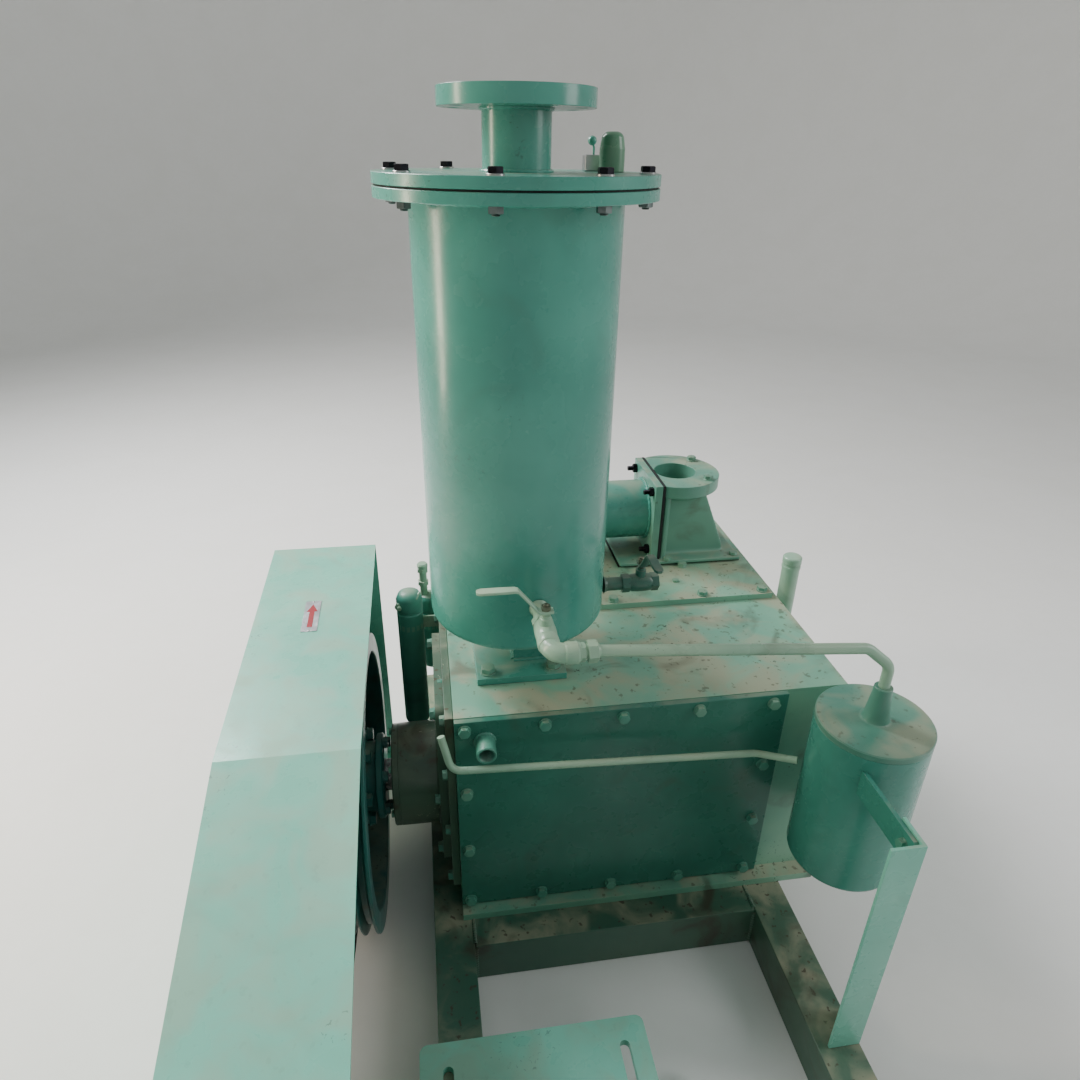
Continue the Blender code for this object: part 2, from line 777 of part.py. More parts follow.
def radial_block(name, turn, inner, outer, thinner, longer, look):
    """A block lying along the rotor, reaching from the inner to the outer radius at one angle."""
    thickness = VANE_THICKNESS - thinner
    length = ROTOR_LENGTH + 2 * longer
    size = (length, thickness, outer - inner)
    mesh = bpy.data.meshes.new(name)
    shape = bmesh.new()
    place = Matrix.Translation((0, 0, (inner + outer) / 2)) @ Matrix.Diagonal((*size, 1.0))
    bmesh.ops.create_cube(shape, size=1.0, matrix=Matrix.Rotation(turn, 4, "X") @ place)
    shape.to_mesh(mesh)
    shape.free()
    return mesh_object(name, mesh, look, ((ROTOR_LEFT + ROTOR_RIGHT) / 2, SHAFT_Y, SHAFT_Z))


# ---- Drive end --------------------------------------------------------------------------
def make_drive_end():
    axis = (0.0, SHAFT_Y, SHAFT_Z)
    bearing_hole = [circle((SHAFT_Y, SHAFT_Z), BEARING_OUTER + GAP, 32)]
    seal_hole = [circle((SHAFT_Y, SHAFT_Z), SEAL_OUTER + GAP, 32)]
    cover = rectangle(
        (COVER_FRONT + 0.020, CASING_TOP - 0.440),
        (COVER_FRONT + 0.470, CASING_TOP - 0.006),
    )
    bar("left_end_cover", cover, END_COVER_LEFT, CASING_LEFT - GAP, DARK_ENAMEL, "X", bearing_hole)
    plate = rounded_rectangle(
        (COVER_FRONT + 0.050, CASING_TOP - 0.405),
        (COVER_FRONT + 0.320, CASING_TOP - 0.012),
        0.020,
    )
    plate_right = END_COVER_LEFT - GAP
    housing = bar("bearing_housing", plate, END_PLATE_LEFT, plate_right, DUSTY_ENAMEL, "X", seal_hole)
    barrel_inner = BEARING_OUTER + GAP
    barrel_right = END_PLATE_LEFT + 0.001
    barrel = ring("join_barrel", HOUSING_RADIUS, barrel_inner, HOUSING_LEFT, barrel_right, None, axis, "X")
    join(housing, barrel)
    seal_right = END_COVER_LEFT - GAP
    bore = SHAFT_RADIUS + RUN
    ring("shaft_seal", SEAL_OUTER, bore, END_PLATE_LEFT, seal_right, RUBBER, axis, "X", 32)
    cap_right = HOUSING_LEFT - GAP
    cap_left = cap_right - HOUSING_CAP
    ring("bearing_cap", HOUSING_RADIUS, bore + 0.001, cap_left, cap_right, DUSTY_ENAMEL, axis, "X")
    bearing("drive_bearing", HOUSING_LEFT + GAP)
    bearing("rear_bearing", CASING_RIGHT - CASING_WALL + GAP)
    cap = [
        (0.0, CASING_RIGHT + REAR_CAP_LENGTH + 0.008),
        (REAR_CAP_RADIUS - 0.025, CASING_RIGHT + REAR_CAP_LENGTH + 0.008),
        (REAR_CAP_RADIUS - 0.022, CASING_RIGHT + 0.018),
        (REAR_CAP_RADIUS, CASING_RIGHT + 0.018),
        (REAR_CAP_RADIUS, CASING_RIGHT + GAP),
        (BEARING_OUTER + GAP, CASING_RIGHT + GAP),
        (BEARING_OUTER + GAP, CASING_RIGHT + REAR_CAP_LENGTH),
        (0.0, CASING_RIGHT + REAR_CAP_LENGTH),
    ]
    turned("rear_bearing_cap", cap, DUSTY_ENAMEL, axis, "X", 40)


def bearing(name, left):
    axis = (0.0, SHAFT_Y, SHAFT_Z)
    ring(name, BEARING_OUTER, SHAFT_RADIUS + RUN, left, left + BEARING_WIDTH, STEEL, axis, "X", 32)


# ---- Belt drive -------------------------------------------------------------------------
def grooved_rim(radius, right, inner):
    """Profile points down the outside of a grooved rim, then in to its inner radius."""
    points = [(radius, right)]
    for index in range(GROOVES):
        centre = right - GROOVE_EDGE - index * GROOVE_PITCH
        points.append((radius, centre + GROOVE_TOP / 2))
        points.append((radius - GROOVE_DEPTH, centre + GROOVE_FLOOR / 2))
        points.append((radius - GROOVE_DEPTH, centre - GROOVE_FLOOR / 2))
        points.append((radius, centre - GROOVE_TOP / 2))
    left = right - PULLEY_WIDTH
    return [*points, (radius, left), (inner, left)]


def make_belt_drive():
    axis = (0.0, SHAFT_Y, SHAFT_Z)
    inside = PUMP_PULLEY_RADIUS - GROOVE_DEPTH - RIM_THICKNESS
    middle = (PULLEY_LEFT + PULLEY_RIGHT) / 2
    web_left = middle - WEB_THICKNESS / 2
    web_right = middle + WEB_THICKNESS / 2
    profile = [
        *grooved_rim(PUMP_PULLEY_RADIUS, PULLEY_RIGHT, inside),
        (inside, web_left),
        (HUB_RADIUS + GAP, web_left),
        (HUB_RADIUS + GAP, web_right),
        (inside, web_right),
        (inside, PULLEY_RIGHT),
    ]
    turned("pump_pulley", profile, DARK_ENAMEL, axis, "X", 36, closed=True)
    hub = [
        (HUB_FLANGE_RADIUS, HUB_RIGHT),
        (HUB_FLANGE_RADIUS, HUB_RIGHT - HUB_FLANGE_THICKNESS),
        (HUB_RADIUS, HUB_RIGHT - HUB_FLANGE_THICKNESS),
        (HUB_RADIUS, HUB_LEFT),
        (SHAFT_RADIUS + GAP, HUB_LEFT),
        (SHAFT_RADIUS + GAP, HUB_RIGHT),
    ]
    turned("pulley_hub", hub, DARK_ENAMEL, axis, "X", 32, closed=True)

    motor_axis = (0.0, MOTOR_Y, MOTOR_Z)
    bore = MOTOR_SHAFT_RADIUS + GAP
    small = [*grooved_rim(MOTOR_PULLEY_RADIUS, PULLEY_RIGHT, bore), (bore, PULLEY_RIGHT)]
    turned("motor_pulley", small, DARK_ENAMEL, motor_axis, "X", 24, closed=True)
    first = PULLEY_RIGHT - GROOVE_EDGE - SPARE_GROOVES * GROOVE_PITCH
    for index in range(GROOVES - SPARE_GROOVES):
        make_belt("drive_belt_%d" % (index + 1), first - index * GROOVE_PITCH)


def belt_path(inset):
    """The belt's side view round both pulleys, this far under their rims, as (Y, Z) points."""
    big = PUMP_PULLEY_RADIUS - inset
    small = MOTOR_PULLEY_RADIUS - inset
    distance = math.hypot(SHAFT_Y - MOTOR_Y, SHAFT_Z - MOTOR_Z)
    tilt = math.atan2(SHAFT_Z - MOTOR_Z, SHAFT_Y - MOTOR_Y)
    spread = math.acos((big - small) / distance)
    arcs = (
        ((SHAFT_Y, SHAFT_Z), big, spread - math.pi, 2 * math.pi - 2 * spread, PUMP_WRAP_STEPS),
        ((MOTOR_Y, MOTOR_Z), small, math.pi - spread, 2 * spread, MOTOR_WRAP_STEPS),
    )
    path = []
    for centre, radius, start, sweep, steps in arcs:
        for step in range(steps + 1):
            angle = math.degrees(tilt + start + sweep * step / steps)
            path.append(polar(centre, radius, angle))
    return path


def make_belt(name, centre):
    """A wedge belt: four side-view loops joined into a closed band with sloping flanks."""
    mesh = bpy.data.meshes.new(name)
    shape = bmesh.new()
    loops = []
    for inset, half in (
        (0.0, -BELT_TOP_WIDTH / 2),
        (0.0, BELT_TOP_WIDTH / 2),
        (BELT_HEIGHT, BELT_BASE_WIDTH / 2),
        (BELT_HEIGHT, -BELT_BASE_WIDTH / 2),
    ):
        loops.append([shape.verts.new((centre + half, y, z)) for y, z in belt_path(inset)])
    count = len(loops[0])
    for near, far in zip(loops, loops[1:] + loops[:1]):
        for index in range(count):
            after = (index + 1) % count
            shape.faces.new((near[index], near[after], far[after], far[index]))
    bmesh.ops.recalc_face_normals(shape, faces=shape.faces)
    shape.to_mesh(mesh)
    shape.free()
    mesh_object(name, mesh, RUBBER)


# ---- Motor ------------------------------------------------------------------------------
def make_motor():
    hole_left = CASING_LEFT + MOTOR_CENTRE_X - MOTOR_FOOT_PITCH / 2
    hole_right = hole_left + MOTOR_FOOT_PITCH
    front = MOTOR_PLATE_BACK - MOTOR_PLATE_DEPTH
    slot_middle = MOTOR_PLATE_BACK - SLOT_FROM_EDGE - SLOT_LENGTH / 2
    slots = [
        rounded_rectangle(
            (x - SLOT_WIDTH / 2, slot_middle - SLOT_LENGTH / 2),
            (x + SLOT_WIDTH / 2, slot_middle + SLOT_LENGTH / 2),
            SLOT_WIDTH / 2 - 0.0002,
        )
        for x in (hole_left, hole_right)
    ]
    outline = rounded_rectangle((MOTOR_PLATE_LEFT, front), (MOTOR_PLATE_RIGHT, MOTOR_PLATE_BACK), 0.014)
    bar("motor_plate", outline, RAIL_HEIGHT + GAP, MOTOR_PLATE_TOP, PALE_ENAMEL, "Z", slots)

    axis = (0.0, MOTOR_Y, MOTOR_Z)
    left = (hole_left + hole_right - MOTOR_FRAME_LENGTH) / 2
    right = left + MOTOR_FRAME_LENGTH
    fins = []
    pitch = 360 / MOTOR_FIN_COUNT
    for index in range(MOTOR_FIN_COUNT):
        for offset, rise in ((-0.24, 0.0), (-0.14, 1.0), (0.14, 1.0), (0.24, 0.0)):
            radius = MOTOR_FRAME_RADIUS + rise * MOTOR_FIN_HEIGHT
            fins.append(polar((MOTOR_Y, MOTOR_Z), radius, (index + offset) * pitch))
    frame = bar("motor_frame", fins, left, right, ENAMEL, "X")
    rim = MOTOR_FRAME_RADIUS + 0.012
    drive = [
        (0.0, left + 0.002),
        (rim, left + 0.002),
        (rim, left - SHIELD_LIP),
        (SHIELD_NOSE_RADIUS + 0.010, left - SHIELD_LIP - 0.008),
        (SHIELD_NOSE_RADIUS, left - MOTOR_NOSE),
        (0.0, left - MOTOR_NOSE),
    ]
    shield = turned("join_motor_shield", drive, None, axis, "X", 28)
    join(frame, shield)
    cowl = [
        (0.0, right + COWL_LENGTH),
        (rim - 1.5 * COWL_CORNER, right + COWL_LENGTH),
        (rim, right + COWL_LENGTH - COWL_CORNER),
        (rim, right + GAP),
        (0.0, right + GAP),
    ]
    turned("motor_fan_cowl", cowl, ENAMEL, axis, "X", 28)
    shaft_end = left - MOTOR_NOSE - GAP
    cylinder("motor_shaft", MOTOR_SHAFT_RADIUS, PULLEY_LEFT + 0.010, shaft_end, STEEL, axis, "X", 32)
    box_left = (left + right - TERMINAL_BOX_LENGTH) / 2
    half_box = TERMINAL_BOX_WIDTH / 2
    low = MOTOR_Z + MOTOR_FRAME_RADIUS + MOTOR_FIN_HEIGHT + GAP
    block(
        "motor_terminal_box",
        (box_left, MOTOR_Y - half_box, low),
        (box_left + TERMINAL_BOX_LENGTH, MOTOR_Y + half_box, low + TERMINAL_BOX_HEIGHT),
        ENAMEL,
        bevel=0.006,
    )
    for name, middle in (("join_foot_drive", hole_left), ("join_foot_fan", hole_right)):
        join(frame, make_motor_foot(name, middle))


def make_motor_foot(name, middle):
    """A pair of feet in one casting, reaching up into the frame's fins."""
    reach = MOTOR_FOOT_SPREAD / 2 + MOTOR_FOOT_EDGE
    low = MOTOR_PLATE_TOP + GAP
    rise = MOTOR_Z - MOTOR_FRAME_RADIUS * 0.80
    outline = [
        (MOTOR_Y - reach, low),
        (MOTOR_Y + reach, low),
        (MOTOR_Y + reach, low + MOTOR_FOOT_TOE),
        (MOTOR_Y + 0.100, rise),
        (MOTOR_Y - 0.100, rise),
        (MOTOR_Y - reach, low + MOTOR_FOOT_TOE),
    ]
    return bar(name, outline, middle - MOTOR_FOOT_WIDTH / 2, middle + MOTOR_FOOT_WIDTH / 2, None, "X")


# ---- Belt guard -------------------------------------------------------------------------
def make_guard():
    sheet = GUARD_SHEET
    back_z = GUARD_FOLD_Z + GUARD_TOP_RISE
    outside = [
        (GUARD_BACK_Y, GUARD_REAR_BOTTOM - 0.010),
        (GUARD_BACK_Y, back_z),
        (GUARD_FOLD_Y, GUARD_FOLD_Z),
        (GUARD_NOSE_Y, GUARD_NOSE_Z),
        (GUARD_NOSE_Y, GUARD_REAR_BOTTOM - 0.010),
    ]
    inside = [
        (GUARD_NOSE_Y + sheet, GUARD_REAR_BOTTOM - 0.010),
        (GUARD_NOSE_Y + sheet, GUARD_NOSE_Z - sheet),
        (GUARD_FOLD_Y, GUARD_FOLD_Z - sheet),
        (GUARD_BACK_Y - sheet, back_z - sheet),
        (GUARD_BACK_Y - sheet, GUARD_REAR_BOTTOM - 0.010),
    ]
    guard = bar("belt_guard", outside + inside, GUARD_LEFT_X, GUARD_RIGHT_X, PALE_ENAMEL, "X")
    side = [
        (GUARD_BACK_Y - sheet / 2, GUARD_SIDE_BOTTOM),
        (GUARD_BACK_Y - sheet / 2, back_z - sheet / 2),
        (GUARD_FOLD_Y, GUARD_FOLD_Z - sheet / 2),
        (GUARD_NOSE_Y + sheet / 2, GUARD_NOSE_Z - sheet / 2),
        (GUARD_NOSE_Y + sheet / 2, GUARD_SIDE_BOTTOM),
    ]
    join(guard, bar("join_guard_side", side, GUARD_LEFT_X + 0.0001, GUARD_LEFT_X + sheet, None, "X"))
    rail_outer = -RAIL_SPREAD / 2 - RAIL_WIDTH / 2 - GAP
    for name, heel, toe in (
        ("join_bar_rear", GUARD_BACK_Y - 0.0001, GUARD_BACK_Y - GUARD_BAR),
        ("join_bar_front", GUARD_NOSE_Y + 0.0001, GUARD_NOSE_Y + GUARD_BAR),
    ):
        wall = math.copysign(GUARD_BAR_WALL, toe - heel)
        angle_bar = [
            (heel, 0.0),
            (heel + wall, 0.0),
            (heel + wall, GUARD_BAR - GUARD_BAR_WALL),
            (toe, GUARD_BAR - GUARD_BAR_WALL),
            (toe, GUARD_BAR),
            (heel, GUARD_BAR),
        ]
        join(guard, bar(name, angle_bar, GUARD_LEFT_X + 0.0002, rail_outer, None, "X"))


# ---- Separator tank ---------------------------------------------------------------------
def make_tank():
    place = (TANK_X, TANK_Y, 0.0)
    foot_low = CASING_TOP + GAP
    foot_high = foot_low + FOOT_THICKNESS
    half = FOOT_SIZE / 2
    foot = block(
        "tank_stool",
        (TANK_X - half, TANK_Y - half, foot_low),
        (TANK_X + half, TANK_Y + half, foot_high),
        ENAMEL,
    )
    post_x = TANK_X + STOOL_SHIFT
    post = block(
        "join_stool_post",
        (post_x - STOOL_SIZE / 2, TANK_Y - STOOL_SIZE / 2, foot_high - 0.002),
        (post_x + STOOL_SIZE / 2, TANK_Y + STOOL_SIZE / 2, TANK_BOTTOM_Z - GAP),
        None,
    )
    join(foot, post)

    inside = TANK_RADIUS - TANK_WALL
    floor = TANK_BOTTOM_Z
    shell = turned(
        "tank_shell",
        [
            (0.0, floor + TANK_WALL),
            (inside, floor + TANK_WALL),
            (inside, TANK_FLANGE_Z + TANK_FLANGE_THICKNESS),
            (TANK_FLANGE_RADIUS, TANK_FLANGE_Z + TANK_FLANGE_THICKNESS),
            (TANK_FLANGE_RADIUS, TANK_FLANGE_Z),
            (TANK_RADIUS, TANK_FLANGE_Z),
            (TANK_RADIUS, floor + 0.014),
            (TANK_RADIUS - 0.004, floor + 0.005),
            (TANK_RADIUS - 0.014, floor),
            (0.0, floor),
        ],
        ENAMEL,
        place,
        steps=44,
    )
    inlet = cylinder(
        "cut_tank_inlet",
        PIPE_RADIUS + 0.001,
        TANK_Y + TANK_RADIUS / 2,
        TANK_Y + 2 * TANK_RADIUS,
        None,
        (TANK_X, 0.0, pipe_rise_z()),
        "Y",
        28,
    )
    cut(shell, inlet)
    gasket_low = TANK_FLANGE_Z + TANK_FLANGE_THICKNESS + GAP
    gasket_high = gasket_low + TANK_GASKET
    ring("tank_gasket", TANK_FLANGE_RADIUS - 0.002, inside, gasket_low, gasket_high, GASKET, place, steps=44)
    cover_low = gasket_high + GAP
    stub_top = TANK_TOP_Z + STUB_HEIGHT
    bore = STUB_RADIUS - STUB_WALL
    cover = [
        (bore, stub_top),
        (STUB_FLANGE_RADIUS, stub_top),
        (STUB_FLANGE_RADIUS, stub_top - STUB_FLANGE_THICKNESS),
        (STUB_RADIUS, stub_top - STUB_FLANGE_THICKNESS),
        (STUB_RADIUS, TANK_TOP_Z),
        (TANK_FLANGE_RADIUS, TANK_TOP_Z),
        (TANK_FLANGE_RADIUS, cover_low),
        (bore, cover_low),
    ]
    lid = turned("tank_cover", cover, ENAMEL, place, steps=44, closed=True)
    element_low = floor + ELEMENT_RISE
    element_top = cover_low - ELEMENT_DROP
    media = FILTER_MEDIA
    ring("separator_element", ELEMENT_RADIUS, ELEMENT_BORE, element_low, element_top, media, place, steps=32)
    relief = (TANK_X + RELIEF_X, TANK_Y + RELIEF_Y, TANK_TOP_Z + GAP)
    turned(
        "relief_cap",
        [
            (0.0, RELIEF_HEIGHT),
            (RELIEF_RADIUS * 0.55, RELIEF_HEIGHT - 0.002),
            (RELIEF_RADIUS * 0.92, RELIEF_HEIGHT - 0.011),
            (RELIEF_RADIUS, RELIEF_HEIGHT - 0.024),
            (RELIEF_RADIUS, 0.0),
            (0.0, 0.0),
        ],
        ENAMEL,
        relief,
        steps=24,
    )
    cock = (TANK_X + VENT_X, TANK_Y + VENT_Y)
    vent = block(
        "join_vent_cock",
        (cock[0] - 0.016, cock[1] - 0.013, TANK_TOP_Z - 0.002),
        (cock[0] + 0.016, cock[1] + 0.013, TANK_TOP_Z + 0.024),
        None,
    )
    knob = turned(
        "join_vent_knob",
        [(0.0, 0.026), (0.005, 0.024), (0.007, 0.018), (0.003, 0.010), (0.003, -0.004), (0.0, -0.004)],
        None,
        (cock[0], cock[1], TANK_TOP_Z + 0.024),
        steps=16,
    )
    join(lid, vent, knob)


def pipe_rise_z():
    return CASING_TOP + PIPE_RISE


# ---- Port casting and pipework above the casing -----------------------------------------
def make_ports():
    plate = block(
        "top_plate",
        (CASING_LEFT + TOP_PLATE_LEFT, COVER_FRONT + TOP_PLATE_FRONT, CASING_TOP + GAP),
        (CASING_LEFT + TOP_PLATE_RIGHT, COVER_FRONT + TOP_PLATE_BACK, PLATE_TOP_Z),
        DUSTY_ENAMEL,
    )
    cut(plate, *port_holes("plate", CASING_TOP - 0.010, PLATE_TOP_Z + 0.010))

    gasket_outline = rectangle(
        (CASING_LEFT + PORT_BASE_LEFT, COVER_FRONT + PORT_BASE_FRONT),
        (CASING_LEFT + PORT_BASE_RIGHT, COVER_FRONT + PORT_BASE_BACK),
    )
    holes = [
        circle((CASING_LEFT + DISCHARGE_X, PORT_Y), DISCHARGE_RADIUS + 0.002),
        circle((CASING_LEFT + SUCTION_X + SUCTION_SHIFT, PORT_Y), SUCTION_THROAT + 0.006),
    ]
    gasket_top = PLATE_TOP_Z + GAP + PORT_GASKET
    bar("port_gasket", gasket_outline, PLATE_TOP_Z + GAP, gasket_top, GASKET, "Z", holes)
    make_port_casting(gasket_top + GAP)

    face = CASING_LEFT + DISCHARGE_X - 0.017
    middle = CASING_TOP + SQUARE_FLANGE_Z
    half = SQUARE_FLANGE / 2
    outline = rectangle((PORT_Y - half, middle - half), (PORT_Y + half, middle + half))
    gasket_right = face - GAP
    gasket_left = gasket_right - SQUARE_GASKET
    hole = [circle((PORT_Y, middle), PIPE_RADIUS - PIPE_WALL, 28)]
    bar("flange_gasket", outline, gasket_left, gasket_right, GASKET, "X", hole)
    flange_right = gasket_left - GAP
    flange_left = flange_right - SQUARE_FLANGE_THICKNESS
    hole = [circle((PORT_Y, middle), PIPE_RADIUS - 0.002, 28)]
    flange = bar("join_pipe_flange", outline, flange_left, flange_right, None, "X", hole)

    rise = pipe_rise_z()
    corners = [
        (flange_right - 0.001, PORT_Y, middle),
        (TANK_X, PORT_Y, middle),
        (TANK_X, PORT_Y, rise),
        (TANK_X, TANK_Y + TANK_RADIUS - TANK_WALL, rise),
    ]
    pipe = rod("discharge_pipe", bent_route(corners, ELBOW_BEND, 4), PIPE_RADIUS, ENAMEL, 5)
    longer = [(flange_right + 0.010, PORT_Y, middle), *corners[1:3]]
    longer.append((TANK_X, TANK_Y + TANK_RADIUS - 3 * TANK_WALL, rise))
    bore = PIPE_RADIUS - PIPE_WALL
    hollow = rod("cut_discharge_pipe", bent_route(longer, ELBOW_BEND, 4), bore, None, 5)
    join(pipe, flange)
    cut(pipe, hollow)
    make_suction_duct()


def make_port_casting(low):
    """One casting: a base, a body that flares to the right, a round top flange and a square side one."""
    face = CASING_LEFT + DISCHARGE_X - 0.017
    casting = block(
        "port_casting",
        (CASING_LEFT + PORT_BASE_LEFT, COVER_FRONT + PORT_BASE_FRONT, low),
        (CASING_LEFT + PORT_BASE_RIGHT, COVER_FRONT + PORT_BASE_BACK, low + PORT_BASE_THICKNESS),
        ENAMEL,
    )
    middle = CASING_TOP + SQUARE_FLANGE_Z
    half = SQUARE_FLANGE / 2
    square = bar(
        "join_square_flange",
        rectangle((PORT_Y - half, low + 0.001), (PORT_Y + half, middle + half)),
        face,
        face + SQUARE_FLANGE_THICKNESS,
        None,
        "X",
    )
    body_low = low + PORT_BASE_THICKNESS / 2
    shoulder = SUCTION_TOP_Z - SUCTION_FLANGE_THICKNESS + 0.004
    right = CASING_LEFT + SUCTION_X
    body = bar(
        "join_body",
        [
            (face + 0.004, body_low),
            (right + PORT_BODY_FOOT, body_low),
            (right + PORT_BODY_FOOT, low + 0.030),
            (right + PORT_BODY_NECK, shoulder),
            (face + 0.004, shoulder),
        ],
        PORT_Y - PORT_BODY_HALF,
        PORT_Y + PORT_BODY_HALF,
        None,
        "Y",
    )
    flange = cylinder(
        "join_round_flange",
        SUCTION_FLANGE_RADIUS,
        SUCTION_TOP_Z - SUCTION_FLANGE_THICKNESS,
        SUCTION_TOP_Z,
        None,
        (CASING_LEFT + SUCTION_X, PORT_Y, 0.0),
        steps=40,
    )
    trim = block(
        "cut_flange_side",
        (face - 0.200, PORT_Y - 0.200, low + PORT_BASE_THICKNESS),
        (face, PORT_Y + 0.200, SUCTION_TOP_Z + 0.020),
        None,
    )
    join(casting, square, body, flange)
    mouth = cylinder(
        "cut_suction_mouth",
        SUCTION_RADIUS,
        SUCTION_TOP_Z - 0.028,
        SUCTION_TOP_Z + 0.010,
        None,
        (CASING_LEFT + SUCTION_X, PORT_Y, 0.0),
        steps=32,
    )
    start = (CASING_LEFT + SUCTION_X + 0.006, PORT_Y, SUCTION_TOP_Z - 0.012)
    end = (CASING_LEFT + SUCTION_X + SUCTION_SHIFT + 0.008, PORT_Y, low - 0.012)
    throat = rod("cut_suction_throat", [start, end], SUCTION_THROAT, None, 8)
    discharge_z = CASING_TOP + DISCHARGE_Z
    side = cylinder(
        "cut_discharge_side",
        DISCHARGE_RADIUS,
        face - 0.010,
        CASING_LEFT + DISCHARGE_X + 0.004,
        None,
        (0.0, PORT_Y, discharge_z),
        "X",
        24,
    )
    down = cylinder(
        "cut_discharge_down",
        DISCHARGE_RADIUS,
        low - 0.010,
        discharge_z,
        None,
        (CASING_LEFT + DISCHARGE_X, PORT_Y, 0.0),
        steps=24,
    )
    cut(casting, trim, mouth, throat, side, down)


def make_suction_duct():
    """The pipe inside the casing that carries the gas from the top opening to the stator."""
    x = CASING_LEFT + SUCTION_X + SUCTION_SHIFT
    middle = (ROTOR_LEFT + ROTOR_RIGHT) / 2
    back = SHAFT_Y + STATOR_WIDTH / 2 + GAP
    corners = [
        (x, PORT_Y, CASING_TOP - CASING_WALL - GAP),
        (x, PORT_Y, SHAFT_Z),
        (middle, PORT_Y, SHAFT_Z),
        (middle, back, SHAFT_Z),
    ]
    duct = rod("suction_duct", bent_route(corners, 0.060, 3), DUCT_RADIUS, STEEL, 4)
    longer = [(x, PORT_Y, CASING_TOP), *corners[1:3], (middle, back - 0.010, SHAFT_Z)]
    hollow = rod("cut_suction_duct", bent_route(longer, 0.060, 3), DUCT_RADIUS - DUCT_WALL, None, 4)
    cut(duct, hollow)


# ---- Oil circuit ------------------------------------------------------------------------
def make_valve(name, start, heading, elbow_heading=None):
    """A ball valve on a nipple: its body, its lever and, where asked, an elbow with a union nut."""
    x, y, z = start
    dx, dy = heading
    axis = {(0, -1): "-Y", (1, 0): "X"}[heading]
    body = cylinder(name, 0.0135, 0.0, VALVE_OUT, FITTING_ENAMEL, start, axis, 20)
    centre = (x + dx * VALVE_OUT, y + dy * VALVE_OUT, z)
    ball_house = turned(
        f"join_{name}_ball",
        [
            (0.0, 0.034),
            (0.017, 0.034),
            (0.019, 0.020),
            (VALVE_BODY_RADIUS, 0.010),
            (VALVE_BODY_RADIUS, -0.010),
            (0.019, -0.020),
            (0.017, -0.034),
            (0.0, -0.034),
        ],
        None,
        centre,
        axis,
        20,
    )
    neck = cylinder(f"join_{name}_neck", 0.010, 0.0, STEM_RISE - GAP, None, centre, steps=16)
    join(body, ball_house, neck)
    if elbow_heading:
        corner = (x + dx * ELBOW_OUT, y + dy * ELBOW_OUT, z)
        end = (corner[0] + elbow_heading[0] * 0.074, corner[1] + elbow_heading[1] * 0.074, z)
        route = bent_route([centre, corner, end], 0.022, 4)
        elbow = rod(f"join_{name}_elbow", route, 0.0165, None, 5)
        nut_axis = {(1, 0): "X"}[elbow_heading]
        nut = cylinder(f"join_{name}_nut", 0.020, 0.044, 0.073, None, corner, nut_axis, 6)
        join(body, elbow, nut)
    return centre


def make_lever(name, centre, heading):
    """A cranked flat lever on its stem, lying along the heading, with its origin on the stem."""
    half = LEVER_THICKNESS / 2
    rise = LEVER_CRANK
    start = LEVER_CRANK_START
    end = LEVER_CRANK_END
    outline = [
        (-start, -half),
        (start, -half),
        (end, rise - half),
        (LEVER_LENGTH, rise - half),
        (LEVER_LENGTH, rise + half),
        (end - 0.004, rise + half),
        (start - 0.004, half),
        (-start, half),
    ]
    lever = bar(name, outline, -LEVER_WIDTH / 2, LEVER_WIDTH / 2, FITTING_ENAMEL, "Y")
    lever.rotation_euler[2] = math.atan2(heading[1], heading[0])
    lever.location = (centre[0], centre[1], centre[2] + STEM_RISE + half)
    nut = cylinder(f"join_{name}_nut", 0.008, half - 0.001, 0.013, None, lever.location, steps=6)
    join(lever, nut)


def make_oil_circuit():
    tank_front = (CASING_LEFT + VALVE_X, TANK_Y - TANK_RADIUS - GAP, CASING_TOP + VALVE_Z)
    front = make_valve("front_valve", tank_front, (0, -1), (1, 0))
    make_lever("front_valve_lever", front, (-1, 0))
    tank_side = (TANK_X + TANK_RADIUS + GAP, COVER_FRONT + DRAIN_Y, CASING_TOP + DRAIN_Z)
    drain = make_valve("drain_valve", tank_side, (1, 0))
    make_lever("drain_valve_lever", drain, (0, -1))

    tube_y = tank_front[1] - ELBOW_OUT
    nozzle_top = FILTER_TOP_Z + FILTER_LID + NOZZLE_HEIGHT
    corners = [
        (tank_front[0] + 0.075, tube_y, tank_front[2]),
        (FILTER_CENTRE_X - 0.040, tube_y, tank_front[2] - 0.038),
        (FILTER_CENTRE_X, FILTER_CENTRE_Y, tank_front[2] - 0.070),
        (FILTER_CENTRE_X, FILTER_CENTRE_Y, nozzle_top + GAP),
    ]
    rod("return_tube", bent_route(corners, 0.026, 5), OIL_TUBE_RADIUS, FITTING_ENAMEL, 3)
    make_filter()

    left = CASING_LEFT - 0.020
    out = COVER_FRONT - SUPPLY_OUT
    side_z = CASING_TOP - 0.090
    reach = math.sqrt(FILTER_RADIUS**2 - 0.040**2)
    corners = [
        (left - 0.004, out + 0.020, CASING_TOP - 0.014),
        (left + 0.012, out, CASING_TOP - 0.077),
        (CASING_LEFT + 0.560, out, CASING_TOP - 0.106),
        (FILTER_CENTRE_X - reach - 0.012, FILTER_CENTRE_Y + 0.040, side_z),
    ]
    rod("supply_tube", bent_route(corners, 0.024, 4), SUPPLY_TUBE_RADIUS, FITTING_ENAMEL, 3)
    make_breather()
    make_bottles()


